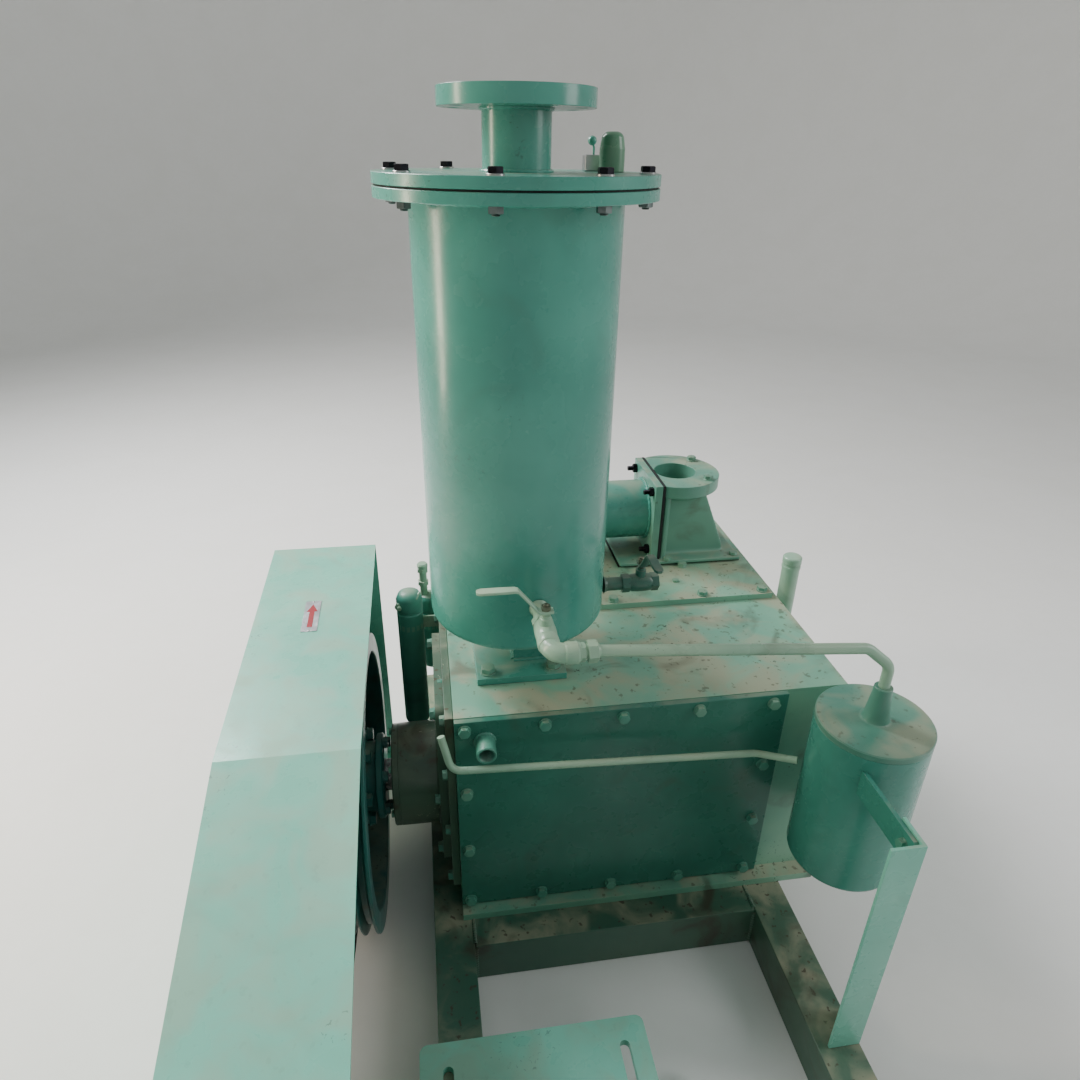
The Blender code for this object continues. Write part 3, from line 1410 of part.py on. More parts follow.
def make_filter():
    place = (FILTER_CENTRE_X, FILTER_CENTRE_Y, 0.0)
    inside = FILTER_RADIUS - FILTER_WALL
    high = FILTER_TOP_Z - GAP
    low = FILTER_BOTTOM_Z
    body = turned(
        "filter_body",
        [
            (0.0, low + FILTER_WALL),
            (inside, low + FILTER_WALL),
            (inside, high),
            (FILTER_RADIUS, high),
            (FILTER_RADIUS, low + 0.012),
            (FILTER_RADIUS - 0.003, low + 0.003),
            (FILTER_RADIUS - 0.014, low),
            (0.0, low),
        ],
        ENAMEL,
        place,
    )
    post_x = POST_RIGHT - POST_WALL - GAP
    wall_y = FILTER_CENTRE_Y - math.sqrt(FILTER_RADIUS**2 - (FILTER_CENTRE_X - post_x) ** 2)
    post_y = COVER_FRONT - POST_FRONT + POST_WALL + GAP
    lug_top = CASING_TOP - POST_TOP - LUG_DROP
    lug = block(
        "join_filter_lug",
        (post_x - LUG_THICKNESS, post_y, lug_top - LUG_HEIGHT),
        (post_x, wall_y + 0.010, lug_top),
        None,
    )
    join(body, lug)
    lid_low = FILTER_TOP_Z
    lid = [
        (0.0, lid_low + FILTER_LID + NOZZLE_HEIGHT),
        (NOZZLE_RADIUS, lid_low + FILTER_LID + NOZZLE_HEIGHT),
        (NOZZLE_RADIUS + 0.004, lid_low + FILTER_LID),
        (FILTER_RADIUS - 0.002, lid_low + FILTER_LID),
        (FILTER_RADIUS, lid_low + FILTER_LID - 0.002),
        (FILTER_RADIUS, lid_low),
        (0.0, lid_low),
    ]
    turned("filter_lid", lid, ENAMEL, place)
    element_low = low + FILTER_ELEMENT_END
    element_high = high - FILTER_ELEMENT_END
    outer = FILTER_ELEMENT_RADIUS
    bore = FILTER_ELEMENT_BORE
    ring("filter_element", outer, bore, element_low, element_high, FILTER_MEDIA, place, steps=32)

    x = POST_RIGHT - POST_LEG
    y = COVER_FRONT - POST_FRONT
    angle_bar = [
        (x, y),
        (x + POST_LEG, y),
        (x + POST_LEG, y + POST_LEG),
        (x + POST_LEG - POST_WALL, y + POST_LEG),
        (x + POST_LEG - POST_WALL, y + POST_WALL),
        (x, y + POST_WALL),
    ]
    bar("filter_post", angle_bar, RAIL_HEIGHT + GAP, CASING_TOP - POST_TOP, PALE_ENAMEL, "Z")


def make_breather():
    x = CASING_RIGHT + BREATHER_FROM_CASING
    y = COVER_FRONT + BREATHER_Y
    top = CASING_TOP + BREATHER_TOP
    foot = CASING_TOP - BREATHER_DROP
    route = bent_route([(x, y, top - GAP), (x, y, foot), (CASING_RIGHT + GAP, y, foot)], 0.024, 4)
    rod("breather_pipe", route, BREATHER_RADIUS, FITTING_ENAMEL, 6)
    cap = [
        (0.0, BREATHER_CAP_HEIGHT),
        (BREATHER_RADIUS * 0.8, BREATHER_CAP_HEIGHT - 0.001),
        (BREATHER_RADIUS + 0.001, BREATHER_CAP_HEIGHT - 0.005),
        (BREATHER_RADIUS + 0.001, 0.0),
        (0.0, 0.0),
    ]
    turned("breather_cap", cap, FITTING_ENAMEL, (x, y, top), steps=24)


def make_bottles():
    """Two small bottles held off the casing's left end by flat brackets."""
    second_top = -SECOND_BOTTLE_DROP
    second_length = SECOND_BOTTLE_LENGTH
    second_radius = BOTTLE_RADIUS * 0.9
    for name, inset, depth, top, length, radius in (
        ("ballast_silencer", BOTTLE_X, BOTTLE_Y, BOTTLE_TOP, BOTTLE_LENGTH, BOTTLE_RADIUS),
        ("ballast_filter", SECOND_BOTTLE_X, SECOND_BOTTLE_Y, second_top, second_length, second_radius),
    ):
        x = CASING_LEFT - inset
        y = COVER_FRONT + depth
        high = CASING_TOP + top
        low = high - length
        profile = [
            (0.0, high + 0.024),
            (radius * 0.55, high + 0.020),
            (radius * 0.90, high + 0.008),
            (radius, high),
            (radius, low + 0.012),
            (radius * 0.75, low + 0.002),
            (0.0, low),
        ]
        bottle = turned(name, profile, ENAMEL, (x, y, 0.0), steps=24)
        wall = END_COVER_LEFT - GAP if depth < 0.470 else CASING_LEFT - GAP
        arm = block(
            f"join_{name}_arm",
            (x, y - 0.003, high - 0.080),
            (wall, y + 0.003, high - 0.050),
            None,
        )
        join(bottle, arm)
        if name == "ballast_filter":
            pipe_top = high + BOTTLE_PIPE_RISE
            place = (x - 0.012, y, 0.0)
            pipe = cylinder("join_bottle_pipe", 0.009, high, pipe_top, None, place, steps=16)
            cap = cylinder("join_bottle_cap", 0.013, pipe_top - 0.022, pipe_top, None, place, steps=16)
            join(bottle, pipe, cap)


def main():
    clear_scene()
    make_skid()
    make_casing()
    make_pumping_unit()
    make_drive_end()
    make_belt_drive()
    make_motor()
    make_guard()
    make_tank()
    make_ports()
    make_oil_circuit()


main()
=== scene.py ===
"""The looks of a belt-driven rotary vane vacuum pump set: skid, pump, oil separator, motor and guard.

Each sub-assembly is a class. Its fields are real sizes in metres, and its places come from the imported
frame. Meshes are made in the object's own frame, so every piece sits at the origin.
"""

from __future__ import annotations

import json
import logging
import math
from collections.abc import Iterable, Sequence
from dataclasses import dataclass
from enum import Enum

import bmesh
import bpy
from mathutils import Matrix, Vector


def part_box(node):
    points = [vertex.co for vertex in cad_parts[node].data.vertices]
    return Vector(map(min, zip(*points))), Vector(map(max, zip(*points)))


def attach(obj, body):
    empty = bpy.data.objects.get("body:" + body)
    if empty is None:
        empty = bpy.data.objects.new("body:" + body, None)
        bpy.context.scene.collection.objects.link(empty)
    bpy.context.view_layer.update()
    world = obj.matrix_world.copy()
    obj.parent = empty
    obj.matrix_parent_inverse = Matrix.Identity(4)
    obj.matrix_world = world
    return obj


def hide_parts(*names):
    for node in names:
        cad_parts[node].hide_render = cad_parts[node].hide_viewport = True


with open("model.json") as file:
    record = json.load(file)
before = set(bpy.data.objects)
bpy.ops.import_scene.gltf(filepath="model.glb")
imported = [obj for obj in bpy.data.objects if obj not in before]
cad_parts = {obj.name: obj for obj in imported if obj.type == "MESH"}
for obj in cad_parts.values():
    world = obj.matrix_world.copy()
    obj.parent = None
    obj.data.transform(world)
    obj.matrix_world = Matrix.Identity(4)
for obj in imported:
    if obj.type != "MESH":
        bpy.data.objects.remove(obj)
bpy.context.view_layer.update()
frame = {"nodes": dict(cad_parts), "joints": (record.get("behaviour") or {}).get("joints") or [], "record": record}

LOG = logging.getLogger("vacuum_pump")
MM = 0.001
SHARP_ANGLE = math.radians(32)
PUMP_SET = "pump_set"

# A slab's outline is drawn in (Y, Z) and its thickness runs along X.
SECTION_ALONG_X = Matrix(((0, 0, 1, 0), (1, 0, 0, 0), (0, 1, 0, 0), (0, 0, 0, 1)))

Place = Sequence[float]
Outline = Sequence[tuple[float, float]]


class Way(Enum):
    """The directions that pieces are turned and fastened along."""

    RIGHT = (1.0, 0.0, 0.0)
    LEFT = (-1.0, 0.0, 0.0)
    BACK = (0.0, 1.0, 0.0)
    FRONT = (0.0, -1.0, 0.0)
    UP = (0.0, 0.0, 1.0)
    DOWN = (0.0, 0.0, -1.0)


# ---- Surfaces ---------------------------------------------------------------------------
def linear(code: str) -> tuple[float, float, float, float]:
    """Turns an sRGB hex colour to linear RGBA.

    Args:
        code: six hex digits.

    Returns:
        The linear colour with an alpha of 1.
    """
    parts = [int(code[i : i + 2], 16) / 255 for i in (0, 2, 4)]
    low, knee, offset, power = 12.92, 0.04045, 0.055, 2.4
    red, green, blue = (v / low if v <= knee else ((v + offset) / (1 + offset)) ** power for v in parts)
    return red, green, blue, 1.0


def add(tree: bpy.types.NodeTree, kind: str, inputs: dict | None = None,
        **settings: object) -> bpy.types.Node:
    """Adds a node with its settings, values and links.

    Args:
        tree: the material's tree.
        kind: the node's type name after "ShaderNode".
        inputs: a socket's name or number to its value, or to the socket that feeds it.
        settings: the node's own properties.

    Returns:
        The new node.
    """
    node = tree.nodes.new("ShaderNode" + kind)
    for key, value in settings.items():
        setattr(node, key, value)
    for key, value in (inputs or {}).items():
        if isinstance(value, bpy.types.NodeSocket):
            tree.links.new(value, node.inputs[key])
        else:
            node.inputs[key].default_value = value
    return node


def blotches(tree: bpy.types.NodeTree, spot: bpy.types.NodeSocket, size: float, low: float, high: float,
             detail: float = 4.0, warp: float = 0.0) -> bpy.types.NodeSocket:
    """A soft mask of patches.

    Args:
        tree: the material's tree.
        spot: the coordinate.
        size: width of a patch in metres.
        low: noise level where the mask starts.
        high: noise level where the mask is full.
        detail: finer octaves.
        warp: how far the patches are drawn out of round.

    Returns:
        A socket from 0 to 1.
    """
    noise = add(tree, "TexNoise", {"Vector": spot, "Scale": 1 / size, "Detail": detail, "Distortion": warp})
    level = add(tree, "MapRange", {0: noise.outputs["Fac"], 1: low, 2: high},
                interpolation_type="SMOOTHSTEP")
    return level.outputs[0]


def blend(tree: bpy.types.NodeTree, amount: bpy.types.NodeSocket, under: object,
          over: object) -> bpy.types.NodeSocket:
    """Lays one colour over another by a mask, and gives the mixed colour's socket."""
    mixed = add(tree, "Mix", {0: amount, 6: under, 7: over}, data_type="RGBA")
    return mixed.outputs[2]


def times(tree: bpy.types.NodeTree, first: bpy.types.NodeSocket, second: object) -> bpy.types.NodeSocket:
    """Multiplies a mask by a number or another mask."""
    return add(tree, "Math", {0: first, 1: second}, operation="MULTIPLY").outputs[0]


@dataclass(frozen=True)
class Finish:
    """What every finish has: a maker's name and the record's slot that it fills."""

    name: str
    slot: str

    def start(self) -> tuple[bpy.types.Material, bpy.types.NodeTree, bpy.types.Node, bpy.types.NodeSocket]:
        """Makes an empty material.

        Returns:
            The material, its tree, its shader and the object coordinate in metres.
        """
        material = bpy.data.materials.new(self.name)
        material.use_nodes = True
        tree = material.node_tree
        spot = add(tree, "TexCoord").outputs["Object"]
        return material, tree, tree.nodes["Principled BSDF"], spot

    def material(self) -> bpy.types.Material:
        """The material, made once and shared by the pieces that wear it."""
        return bpy.data.materials.get(self.name) or self.make()

    def make(self) -> bpy.types.Material:
        """Builds the material's nodes."""
        raise NotImplementedError


@dataclass(frozen=True)
class MachineEnamel(Finish):
    """Alkyd machine enamel, sprayed over steel plate and castings.

    A glossy dielectric with a faint orange-peel skin: the eye sees soft reflections, a little drift in
    the green where the coat is thin, dust that settles on what faces up, oily grime, and small dark
    chips and rubs down to the primer.
    """

    paint: str
    thin: str
    gloss: float = 0.28
    dust: float = 0.25
    grime: float = 0.25
    chips: float = 0.25
    rough_cast: float = 0.0
    dust_colour: str = "A9A58C"
    grime_colour: str = "4A4436"
    chip_colour: str = "1C2422"
    patch: float = 220 * MM
    peel: float = 4 * MM
    chip_size: float = 7 * MM

    def make(self) -> bpy.types.Material:
        """Builds the paint film, then the dirt and the wear on it."""
        material, tree, shader, spot = self.start()
        drift = blotches(tree, spot, self.patch, 0.35, 0.70)
        colour = blend(tree, times(tree, drift, 0.65), linear(self.paint), linear(self.thin))

        facing = add(tree, "SeparateXYZ", {0: add(tree, "NewGeometry").outputs["Normal"]}).outputs["Z"]
        upward = add(tree, "MapRange", {0: facing, 1: 0.55, 2: 0.98}).outputs[0]
        settled = times(tree, upward, blotches(tree, spot, 90 * MM, 0.38, 0.66, 9.0, 0.6))
        film = times(tree, settled, self.dust)
        colour = blend(tree, film, colour, linear(self.dust_colour))

        oily = times(tree, blotches(tree, spot, 130 * MM, 0.54, 0.74, 10.0, 1.2), self.grime)
        colour = blend(tree, oily, colour, linear(self.grime_colour))
        dotted = times(tree, blotches(tree, spot, 14 * MM, 0.62, 0.70, 3.0), times(tree, upward, self.grime))
        colour = blend(tree, dotted, colour, linear(self.grime_colour))

        zone = blotches(tree, spot, 160 * MM, 0.58, 0.64, 2.0)
        flake = times(tree, blotches(tree, spot, self.chip_size, 0.66, 0.68, 2.0, 0.8), zone)
        bare = times(tree, flake, self.chips)
        colour = blend(tree, bare, colour, linear(self.chip_colour))

        dull = add(tree, "Math", {0: film, 1: 0.55, 2: self.gloss}, operation="MULTIPLY_ADD").outputs[0]
        uneven = blotches(tree, spot, 45 * MM, 0.30, 0.75, 6.0)
        rough = add(tree, "Math", {0: uneven, 1: 0.10, 2: dull}, operation="MULTIPLY_ADD").outputs[0]
        skin = add(tree, "TexNoise", {"Vector": spot, "Scale": 1 / self.peel, "Detail": 2.0}).outputs["Fac"]
        bump = add(tree, "Bump", {"Strength": 0.10, "Distance": 0.35 * MM, "Height": skin})
        if self.rough_cast:
            sand = add(tree, "TexNoise",
                       {"Vector": spot, "Scale": 1 / (3.2 * MM), "Detail": 5.0}).outputs["Fac"]
            bump = add(tree, "Bump", {"Strength": self.rough_cast, "Distance": 0.9 * MM, "Height": sand,
                                      "Normal": bump.outputs[0]})
        pit = add(tree, "Bump", {"Strength": 0.5, "Distance": 0.3 * MM, "Height": bare,
                                 "Normal": bump.outputs[0]}, invert=True)
        tree.links.new(colour, shader.inputs["Base Color"])
        tree.links.new(rough, shader.inputs["Roughness"])
        tree.links.new(pit.outputs[0], shader.inputs["Normal"])
        shader.inputs["IOR"].default_value = 1.50
        shader.inputs["Coat Weight"].default_value = 0.15
        shader.inputs["Coat Roughness"].default_value = 0.12
        return material


@dataclass(frozen=True)
class Metal(Finish):
    """Bare, oiled or plated steel and iron.

    A full metal: the eye sees tight reflections broken by the tool's lay, and dull patches where the
    oil film or a thin rust sits.
    """

    colour: str
    stain: str
    roughness: float = 0.35
    stained: float = 0.35
    grain: float = 1.2 * MM
    stretch: tuple[float, float, float] = (1.0, 1.0, 1.0)
    relief: float = 0.15

    def make(self) -> bpy.types.Material:
        """Builds the metal, its tool marks and its stains."""
        material, tree, shader, spot = self.start()
        marks = add(tree, "Mapping", {"Vector": spot, "Scale": self.stretch}).outputs[0]
        lay = add(tree, "TexNoise", {"Vector": marks, "Scale": 1 / self.grain, "Detail": 3.0}).outputs["Fac"]
        film = times(tree, blotches(tree, spot, 22 * MM, 0.45, 0.70, 6.0), self.stained)
        shade = blend(tree, times(tree, lay, 0.5), linear(self.colour), linear(self.stain))
        tree.links.new(blend(tree, film, shade, linear(self.stain)), shader.inputs["Base Color"])
        rough = add(tree, "Math", {0: film, 1: 0.35, 2: self.roughness}, operation="MULTIPLY_ADD").outputs[0]
        tree.links.new(rough, shader.inputs["Roughness"])
        bump = add(tree, "Bump", {"Strength": self.relief, "Distance": 0.1 * MM, "Height": lay})
        tree.links.new(bump.outputs[0], shader.inputs["Normal"])
        shader.inputs["Metallic"].default_value = 1.0
        return material


@dataclass(frozen=True)
class SheetStuff(Finish):
    """Rubber, gasket sheet, laminate and felt: dull dielectrics with a visible grain."""

    colour: str
    fleck: str
    roughness: float = 0.75
    grain: float = 2.0 * MM
    stretch: tuple[float, float, float] = (1.0, 1.0, 1.0)
    relief: float = 0.3

    def make(self) -> bpy.types.Material:
        """Builds the two-tone grain and its relief."""
        material, tree, shader, spot = self.start()
        marks = add(tree, "Mapping", {"Vector": spot, "Scale": self.stretch}).outputs[0]
        flecks = blotches(tree, marks, self.grain, 0.42, 0.66, 3.0)
        wear = times(tree, blotches(tree, spot, 40 * MM, 0.40, 0.75, 5.0), 0.5)
        shade = blend(tree, times(tree, flecks, 0.6), linear(self.colour), linear(self.fleck))
        tree.links.new(blend(tree, wear, shade, linear(self.fleck)), shader.inputs["Base Color"])
        rough = add(tree, "Math", {0: wear, 1: 0.2, 2: self.roughness - 0.05}, operation="MULTIPLY_ADD")
        tree.links.new(rough.outputs[0], shader.inputs["Roughness"])
        bump = add(tree, "Bump", {"Strength": self.relief, "Distance": 0.2 * MM, "Height": flecks})
        tree.links.new(bump.outputs[0], shader.inputs["Normal"])
        return material


TANK_PAINT = MachineEnamel("enamel_sprayed_on_rolled_plate", "painted_tank", "3F8C7D", "57A594",
                           gloss=0.22, dust=0.5, grime=0.10, chips=0.35)
CASTING_PAINT = MachineEnamel("enamel_on_sand_casting", "painted_tank", "4F8877", "74A58F",
                              gloss=0.34, dust=0.6, grime=0.45, chips=0.5, rough_cast=0.25)
CASING_PAINT = MachineEnamel("enamel_dusty_on_planed_casing", "painted_casing", "6FA790", "93BFA2",
                             gloss=0.34, dust=0.75, grime=0.55, chips=0.7)
HOUSING_PAINT = MachineEnamel("enamel_oil_stained_on_bearing_housing", "painted_casing", "4B6A58", "66705A",
                              gloss=0.33, dust=0.5, grime=0.85, chips=0.6, rough_cast=0.18,
                              grime_colour="4F4634", chip_colour="B7BBA0")
# Painted shade: the machine's sea-green enamel darkened to a shaded copy for the front cover, whose face turns
# away from the key light.
SHADED_DARKENED_ENAMEL = MachineEnamel("enamel_darkened_for_painted_shade", "painted_cover", "2F6F5F", "3F8270",
                            gloss=0.25, dust=0.4, grime=0.30, chips=0.4)
# Painted highlight: the machine's sea-green enamel lightened to a lit copy for the guard, the motor plate and the
# filter post; its thin tone is the highlight colour.
LIT_LIGHTENED_ENAMEL = MachineEnamel("enamel_lightened_for_painted_highlight", "painted_guard", "7CCBB6", "93D8C2",
                            gloss=0.24, dust=0.35, grime=0.08, chips=0.35, peel=9 * MM)
SKID_PAINT = MachineEnamel("enamel_worn_on_rolled_channel", "painted_skid", "3C6655", "56705B",
                           gloss=0.36, dust=0.7, grime=0.85, chips=0.8, chip_colour="2A2A24")
FITTING_PAINT = MachineEnamel("enamel_thin_on_pipe_fittings", "painted_fittings", "8FB79F", "B4C9AC",
                              gloss=0.26, dust=0.3, grime=0.25, chips=0.5, chip_size=4 * MM)
MOTOR_PAINT = MachineEnamel("enamel_on_motor_casting", "painted_motor", "4F9B8A", "63AE9A",
                            gloss=0.32, dust=0.6, grime=0.3, chips=0.3, rough_cast=0.15)
PULLEY_PAINT = MachineEnamel("enamel_on_pulley_casting", "painted_pulley", "2A6663", "3A7A72",
                             gloss=0.30, dust=0.4, grime=0.5, chips=0.6, rough_cast=0.2)
FITTING_GREEN = MachineEnamel("enamel_dark_on_relief_cap", "painted_tank", "4E8064", "6B9A7C",
                              gloss=0.26, dust=0.3, grime=0.3, chips=0.4)
BOLT_PAINT = MachineEnamel("enamel_over_bolt_heads", "painted_cover", "4E8F7C", "85AE96",
                           gloss=0.30, dust=0.4, grime=0.6, chips=1.0, chip_size=3 * MM)
VALVE_DARK = MachineEnamel("enamel_dark_on_drain_valve", "painted_fittings", "2F5F52", "44705F",
                           gloss=0.28, dust=0.3, grime=0.4, chips=0.6, chip_size=4 * MM)
BLACK_BOLT = Metal("steel_black_oxide_bolt", "steel", "2B2B30", "15151A", roughness=0.42, stained=0.5)
NUT_STEEL = Metal("steel_oiled_nut", "steel", "77807F", "3E4646", roughness=0.36, stained=0.6)
ZINC = Metal("steel_zinc_plated_washer", "steel", "B9BCC0", "8E8A7C", roughness=0.28, stained=0.5)
GROUND_STEEL = Metal("steel_ground_shaft", "steel", "A7A8AA", "6E6A62", roughness=0.24,
                     stretch=(0.3, 4.0, 4.0))
WORN_BRASS = Metal("steel_painted_off_valve_stem", "steel", "8B8D7C", "5A5C4C", roughness=0.4)
IRON = Metal("cast_iron_bored", "cast_iron", "5E5E5E", "3C3A38", roughness=0.5, relief=0.4)
RUBBER = SheetStuff("rubber_moulded_belt", "rubber", "1B1C1D", "2E2F30", roughness=0.7)
GASKET = SheetStuff("gasket_sheet_cut", "gasket", "141A1A", "24302E", roughness=0.85)
LAMINATE = SheetStuff("phenolic_laminate_ground", "phenolic", "5A3A24", "7A5234", roughness=0.45,
                      stretch=(0.2, 6.0, 1.0))
FELT = SheetStuff("glass_fibre_filter_felt", "filter_media", "DAD5C4", "BDB59D", roughness=0.95)
PLATE_FOIL = Metal("aluminium_etched_label", "painted_guard", "C9CCCF", "A3A6A8", roughness=0.3,
                   stretch=(1.0, 8.0, 1.0))
RED_INK = SheetStuff("ink_red_screen_printed", "painted_guard", "A8202C", "8C1A26", roughness=0.45,
                     relief=0.05)
STUDIO_FLOOR = SheetStuff("floor_matt_pale_paint", "gasket", "F2F2F0", "EFEFEC", roughness=0.9,
                          grain=300 * MM, relief=0.0)
SLOT_FINISHES = {
    finish.slot: finish
    for finish in (FELT, LAMINATE, GASKET, RUBBER, GROUND_STEEL, IRON, PULLEY_PAINT, MOTOR_PAINT,
                   FITTING_PAINT, SKID_PAINT, LIT_LIGHTENED_ENAMEL, SHADED_DARKENED_ENAMEL, CASING_PAINT, TANK_PAINT)
}


# ---- Making shapes ----------------------------------------------------------------------
def facing(origin: Place, way: Way | Place) -> Matrix:
    """The frame at a point whose own Z runs along a direction.

    Args:
        origin: the point.
        way: the direction.

    Returns:
        The frame's matrix.
    """
    ahead = Vector(way.value if isinstance(way, Way) else way).normalized()
    side = Vector((0, 0, 1)) if abs(ahead.z) < 0.9 else Vector((1, 0, 0))
    across = side.cross(ahead).normalized()
    turn = Matrix((across, ahead.cross(across), ahead)).transposed()
    return Matrix.Translation(origin) @ turn.to_4x4()


def around(centre: tuple[float, float], radius: float, degrees: float) -> tuple[float, float]:
    """The point at an angle on a circle."""
    angle = math.radians(degrees)
    return centre[0] + radius * math.cos(angle), centre[1] + radius * math.sin(angle)


def arc(centre: tuple[float, float], radius: float, start: float, end: float,
        steps: int = 8) -> list[tuple[float, float]]:
    """Points along an arc, both ends in."""
    return [around(centre, radius, start + (end - start) * i / steps) for i in range(steps + 1)]


def bent(corners: Sequence[Place], radius: float, steps: int = 14) -> list[Vector]:
    """A route of straight runs whose inner corners are rounded.

    Args:
        corners: the route's corners.
        radius: the bend at each inner corner.
        steps: points to each bend.

    Returns:
        The route's points.
    """
    route = [Vector(corners[0])]
    for before, corner, after in zip(corners, corners[1:], corners[2:]):
        corner = Vector(corner)
        back = (Vector(before) - corner).normalized()
        ahead = (Vector(after) - corner).normalized()
        angle = back.angle(ahead)
        reach = radius / math.tan(angle / 2)
        centre = corner + (back + ahead).normalized() * radius / math.sin(angle / 2)
        start = corner + back * reach - centre
        end = corner + ahead * reach - centre
        route += [centre + start.slerp(end, i / steps) * radius for i in range(steps + 1)]
    route.append(Vector(corners[-1]))
    return route


class Form:
    """A mesh in the making: one or more closed bodies, in the object's own frame."""

    def __init__(self) -> None:
        """Starts with nothing."""
        self.mesh = bmesh.new()

    def skin(self, rings: list[list], closed: bool) -> Form:
        """Joins rings of vertices, each to the next, where a ring of one vertex is a pole.

        Args:
            rings: the rings in order.
            closed: whether the last ring joins the first.

        Returns:
            The form itself.
        """
        pairs = list(zip(rings, rings[1:])) + ([(rings[-1], rings[0])] if closed else [])
        for near, far in pairs:
            count = max(len(near), len(far))
            for i in range(count):
                j = (i + 1) % count
                corners = [near[i % len(near)], near[j % len(near)], far[j % len(far)], far[i % len(far)]]
                self.mesh.faces.new(list(dict.fromkeys(corners)))
        return self

    def turn(self, profile: Outline, place: Matrix, steps: int = 96) -> Form:
        """Turns a profile of (radius, height) round the place's Z axis.

        A profile that starts and ends on the axis is a solid; any other closes on itself as a ring.

        Args:
            profile: the points in order.
            place: the frame to turn in.
            steps: facets round the axis.

        Returns:
            The form itself.
        """
        rings = []
        for radius, height in profile:
            spots = [(0.0, 0.0)] if radius == 0 else [around((0, 0), radius,
                                                             360 * i / steps) for i in range(steps)]
            rings.append([self.mesh.verts.new(place @ Vector((x, y, height))) for x, y in spots])
        return self.skin(rings, closed=profile[0][0] > 0)

    def sweep(self, route: Sequence[Vector], radius: float, sides: int = 32, ripple: float = 0.0) -> Form:
        """Runs a round section along a route and caps its ends.

        Args:
            route: the points of the centre line.
            radius: the section's radius.
            sides: facets round the section.
            ripple: share by which the radius swells and shrinks, as on a weld bead.

        Returns:
            The form itself.
        """
        route = [Vector(point) for point in route]
        ahead = (route[1] - route[0]).normalized()
        across = ahead.orthogonal().normalized()
        rings = [[self.mesh.verts.new(route[0])]]
        for i, point in enumerate(route):
            new = (route[min(i + 1, len(route) - 1)] - route[max(i - 1, 0)]).normalized()
            across = (ahead.rotation_difference(new) @ across).normalized()
            ahead = new
            side = ahead.cross(across)
            size = radius * (1 + ripple * math.sin(i * 1.9) + 0.4 * ripple * math.sin(i * 0.73))
            rings.append([self.mesh.verts.new(point + (across * x + side * y) * size)
                          for x, y in (around((0, 0), 1.0, 360 * k / sides) for k in range(sides))])
        rings.append([self.mesh.verts.new(route[-1])])
        return self.skin(rings, closed=False)

    def slab(self, outline: Outline, low: float, high: float, place: Matrix,
             holes: Iterable[Outline] = ()) -> Form:
        """Gives a flat outline a thickness along the place's Z axis.

        Args:
            outline: the outer loop.
            low: where the slab starts along Z.
            high: where it ends.
            place: the frame that the outline is drawn in.
            holes: inner loops.

        Returns:
            The form itself.
        """
        edges = []
        for loop in (outline, *holes):
            spots = [self.mesh.verts.new(place @ Vector((x, y, low))) for x, y in loop]
            edges += [self.mesh.edges.new(pair) for pair in zip(spots, spots[1:] + spots[:1])]
        filled = bmesh.ops.triangle_fill(self.mesh, edges=edges, use_beauty=True, use_dissolve=True)
        faces = [item for item in filled["geom"] if isinstance(item, bmesh.types.BMFace)]
        grown = bmesh.ops.extrude_face_region(self.mesh, geom=faces, use_keep_orig=True)
        lifted = [item for item in grown["geom"] if isinstance(item, bmesh.types.BMVert)]
        rise = place.to_3x3() @ Vector((0, 0, high - low))
        bmesh.ops.translate(self.mesh, verts=lifted, vec=rise)
        return self

    def block(self, low: Place, high: Place) -> Form:
        """Adds a rectangular block between two corners."""
        outline = [(low[0], low[1]), (high[0], low[1]), (high[0], high[1]), (low[0], high[1])]
        return self.slab(outline, low[2], high[2], Matrix.Identity(4))

    def hexagon(self, flats: float, low: float, high: float, place: Matrix, bevel: bool = True) -> Form:
        """Adds a hexagon head or nut whose top corners are turned off at 30 degrees.

        Args:
            flats: the width across the flats.
            low: the underside.
            high: the top.
            place: the frame, with Z out of the joint.
            bevel: whether the top is turned.

        Returns:
            The form itself.
        """
        steps = 24
        face = 0.95 * flats / 2
        reach = [flats / 2 / math.cos(math.radians((360 * i / steps) % 60 - 30)) for i in range(steps)]
        drop = [(r - face) * math.tan(math.radians(30)) if bevel else 0.0 for r in reach]
        spins = [360 * i / steps for i in range(steps)]

        def loop(sizes: Sequence[float], heights: Sequence[float]) -> list:
            """A ring of vertices at these radii and heights."""
            return [self.mesh.verts.new(place @ Vector((*around((0, 0), r, a), h)))
                    for r, a, h in zip(sizes, spins, heights)]

        flat = [face] * steps if bevel else [r * 0.98 for r in reach]
        rings = [
            [self.mesh.verts.new(place @ Vector((0, 0, low)))],
            loop(reach, [low] * steps),
            loop(reach, [high - d for d in drop]),
            loop(flat, [high] * steps),
            [self.mesh.verts.new(place @ Vector((0, 0, high)))],
        ]
        return self.skin(rings, closed=False)

    def node(self, name: str) -> Form:
        """Adds a copy of a CAD node's own shape, with its facets joined."""
        copy = bmesh.new()
        copy.from_mesh(frame["nodes"][name].data)
        bmesh.ops.remove_doubles(copy, verts=copy.verts, dist=1e-5)
        bmesh.ops.dissolve_limit(copy, angle_limit=math.radians(1.0), verts=copy.verts, edges=copy.edges)
        data = bpy.data.meshes.new(name + "_copy")
        copy.to_mesh(data)
        copy.free()
        self.mesh.from_mesh(data)
        bpy.data.meshes.remove(data)
        return self

    def plain(self, name: str) -> bpy.types.Object:
        """Turns the form into a bare object with its faces pointing out."""
        bmesh.ops.recalc_face_normals(self.mesh, faces=self.mesh.faces)
        data = bpy.data.meshes.new(name)
        self.mesh.to_mesh(data)
        self.mesh.free()
        data.shade_smooth()
        piece = bpy.data.objects.new(name, data)
        bpy.context.scene.collection.objects.link(piece)
        return piece


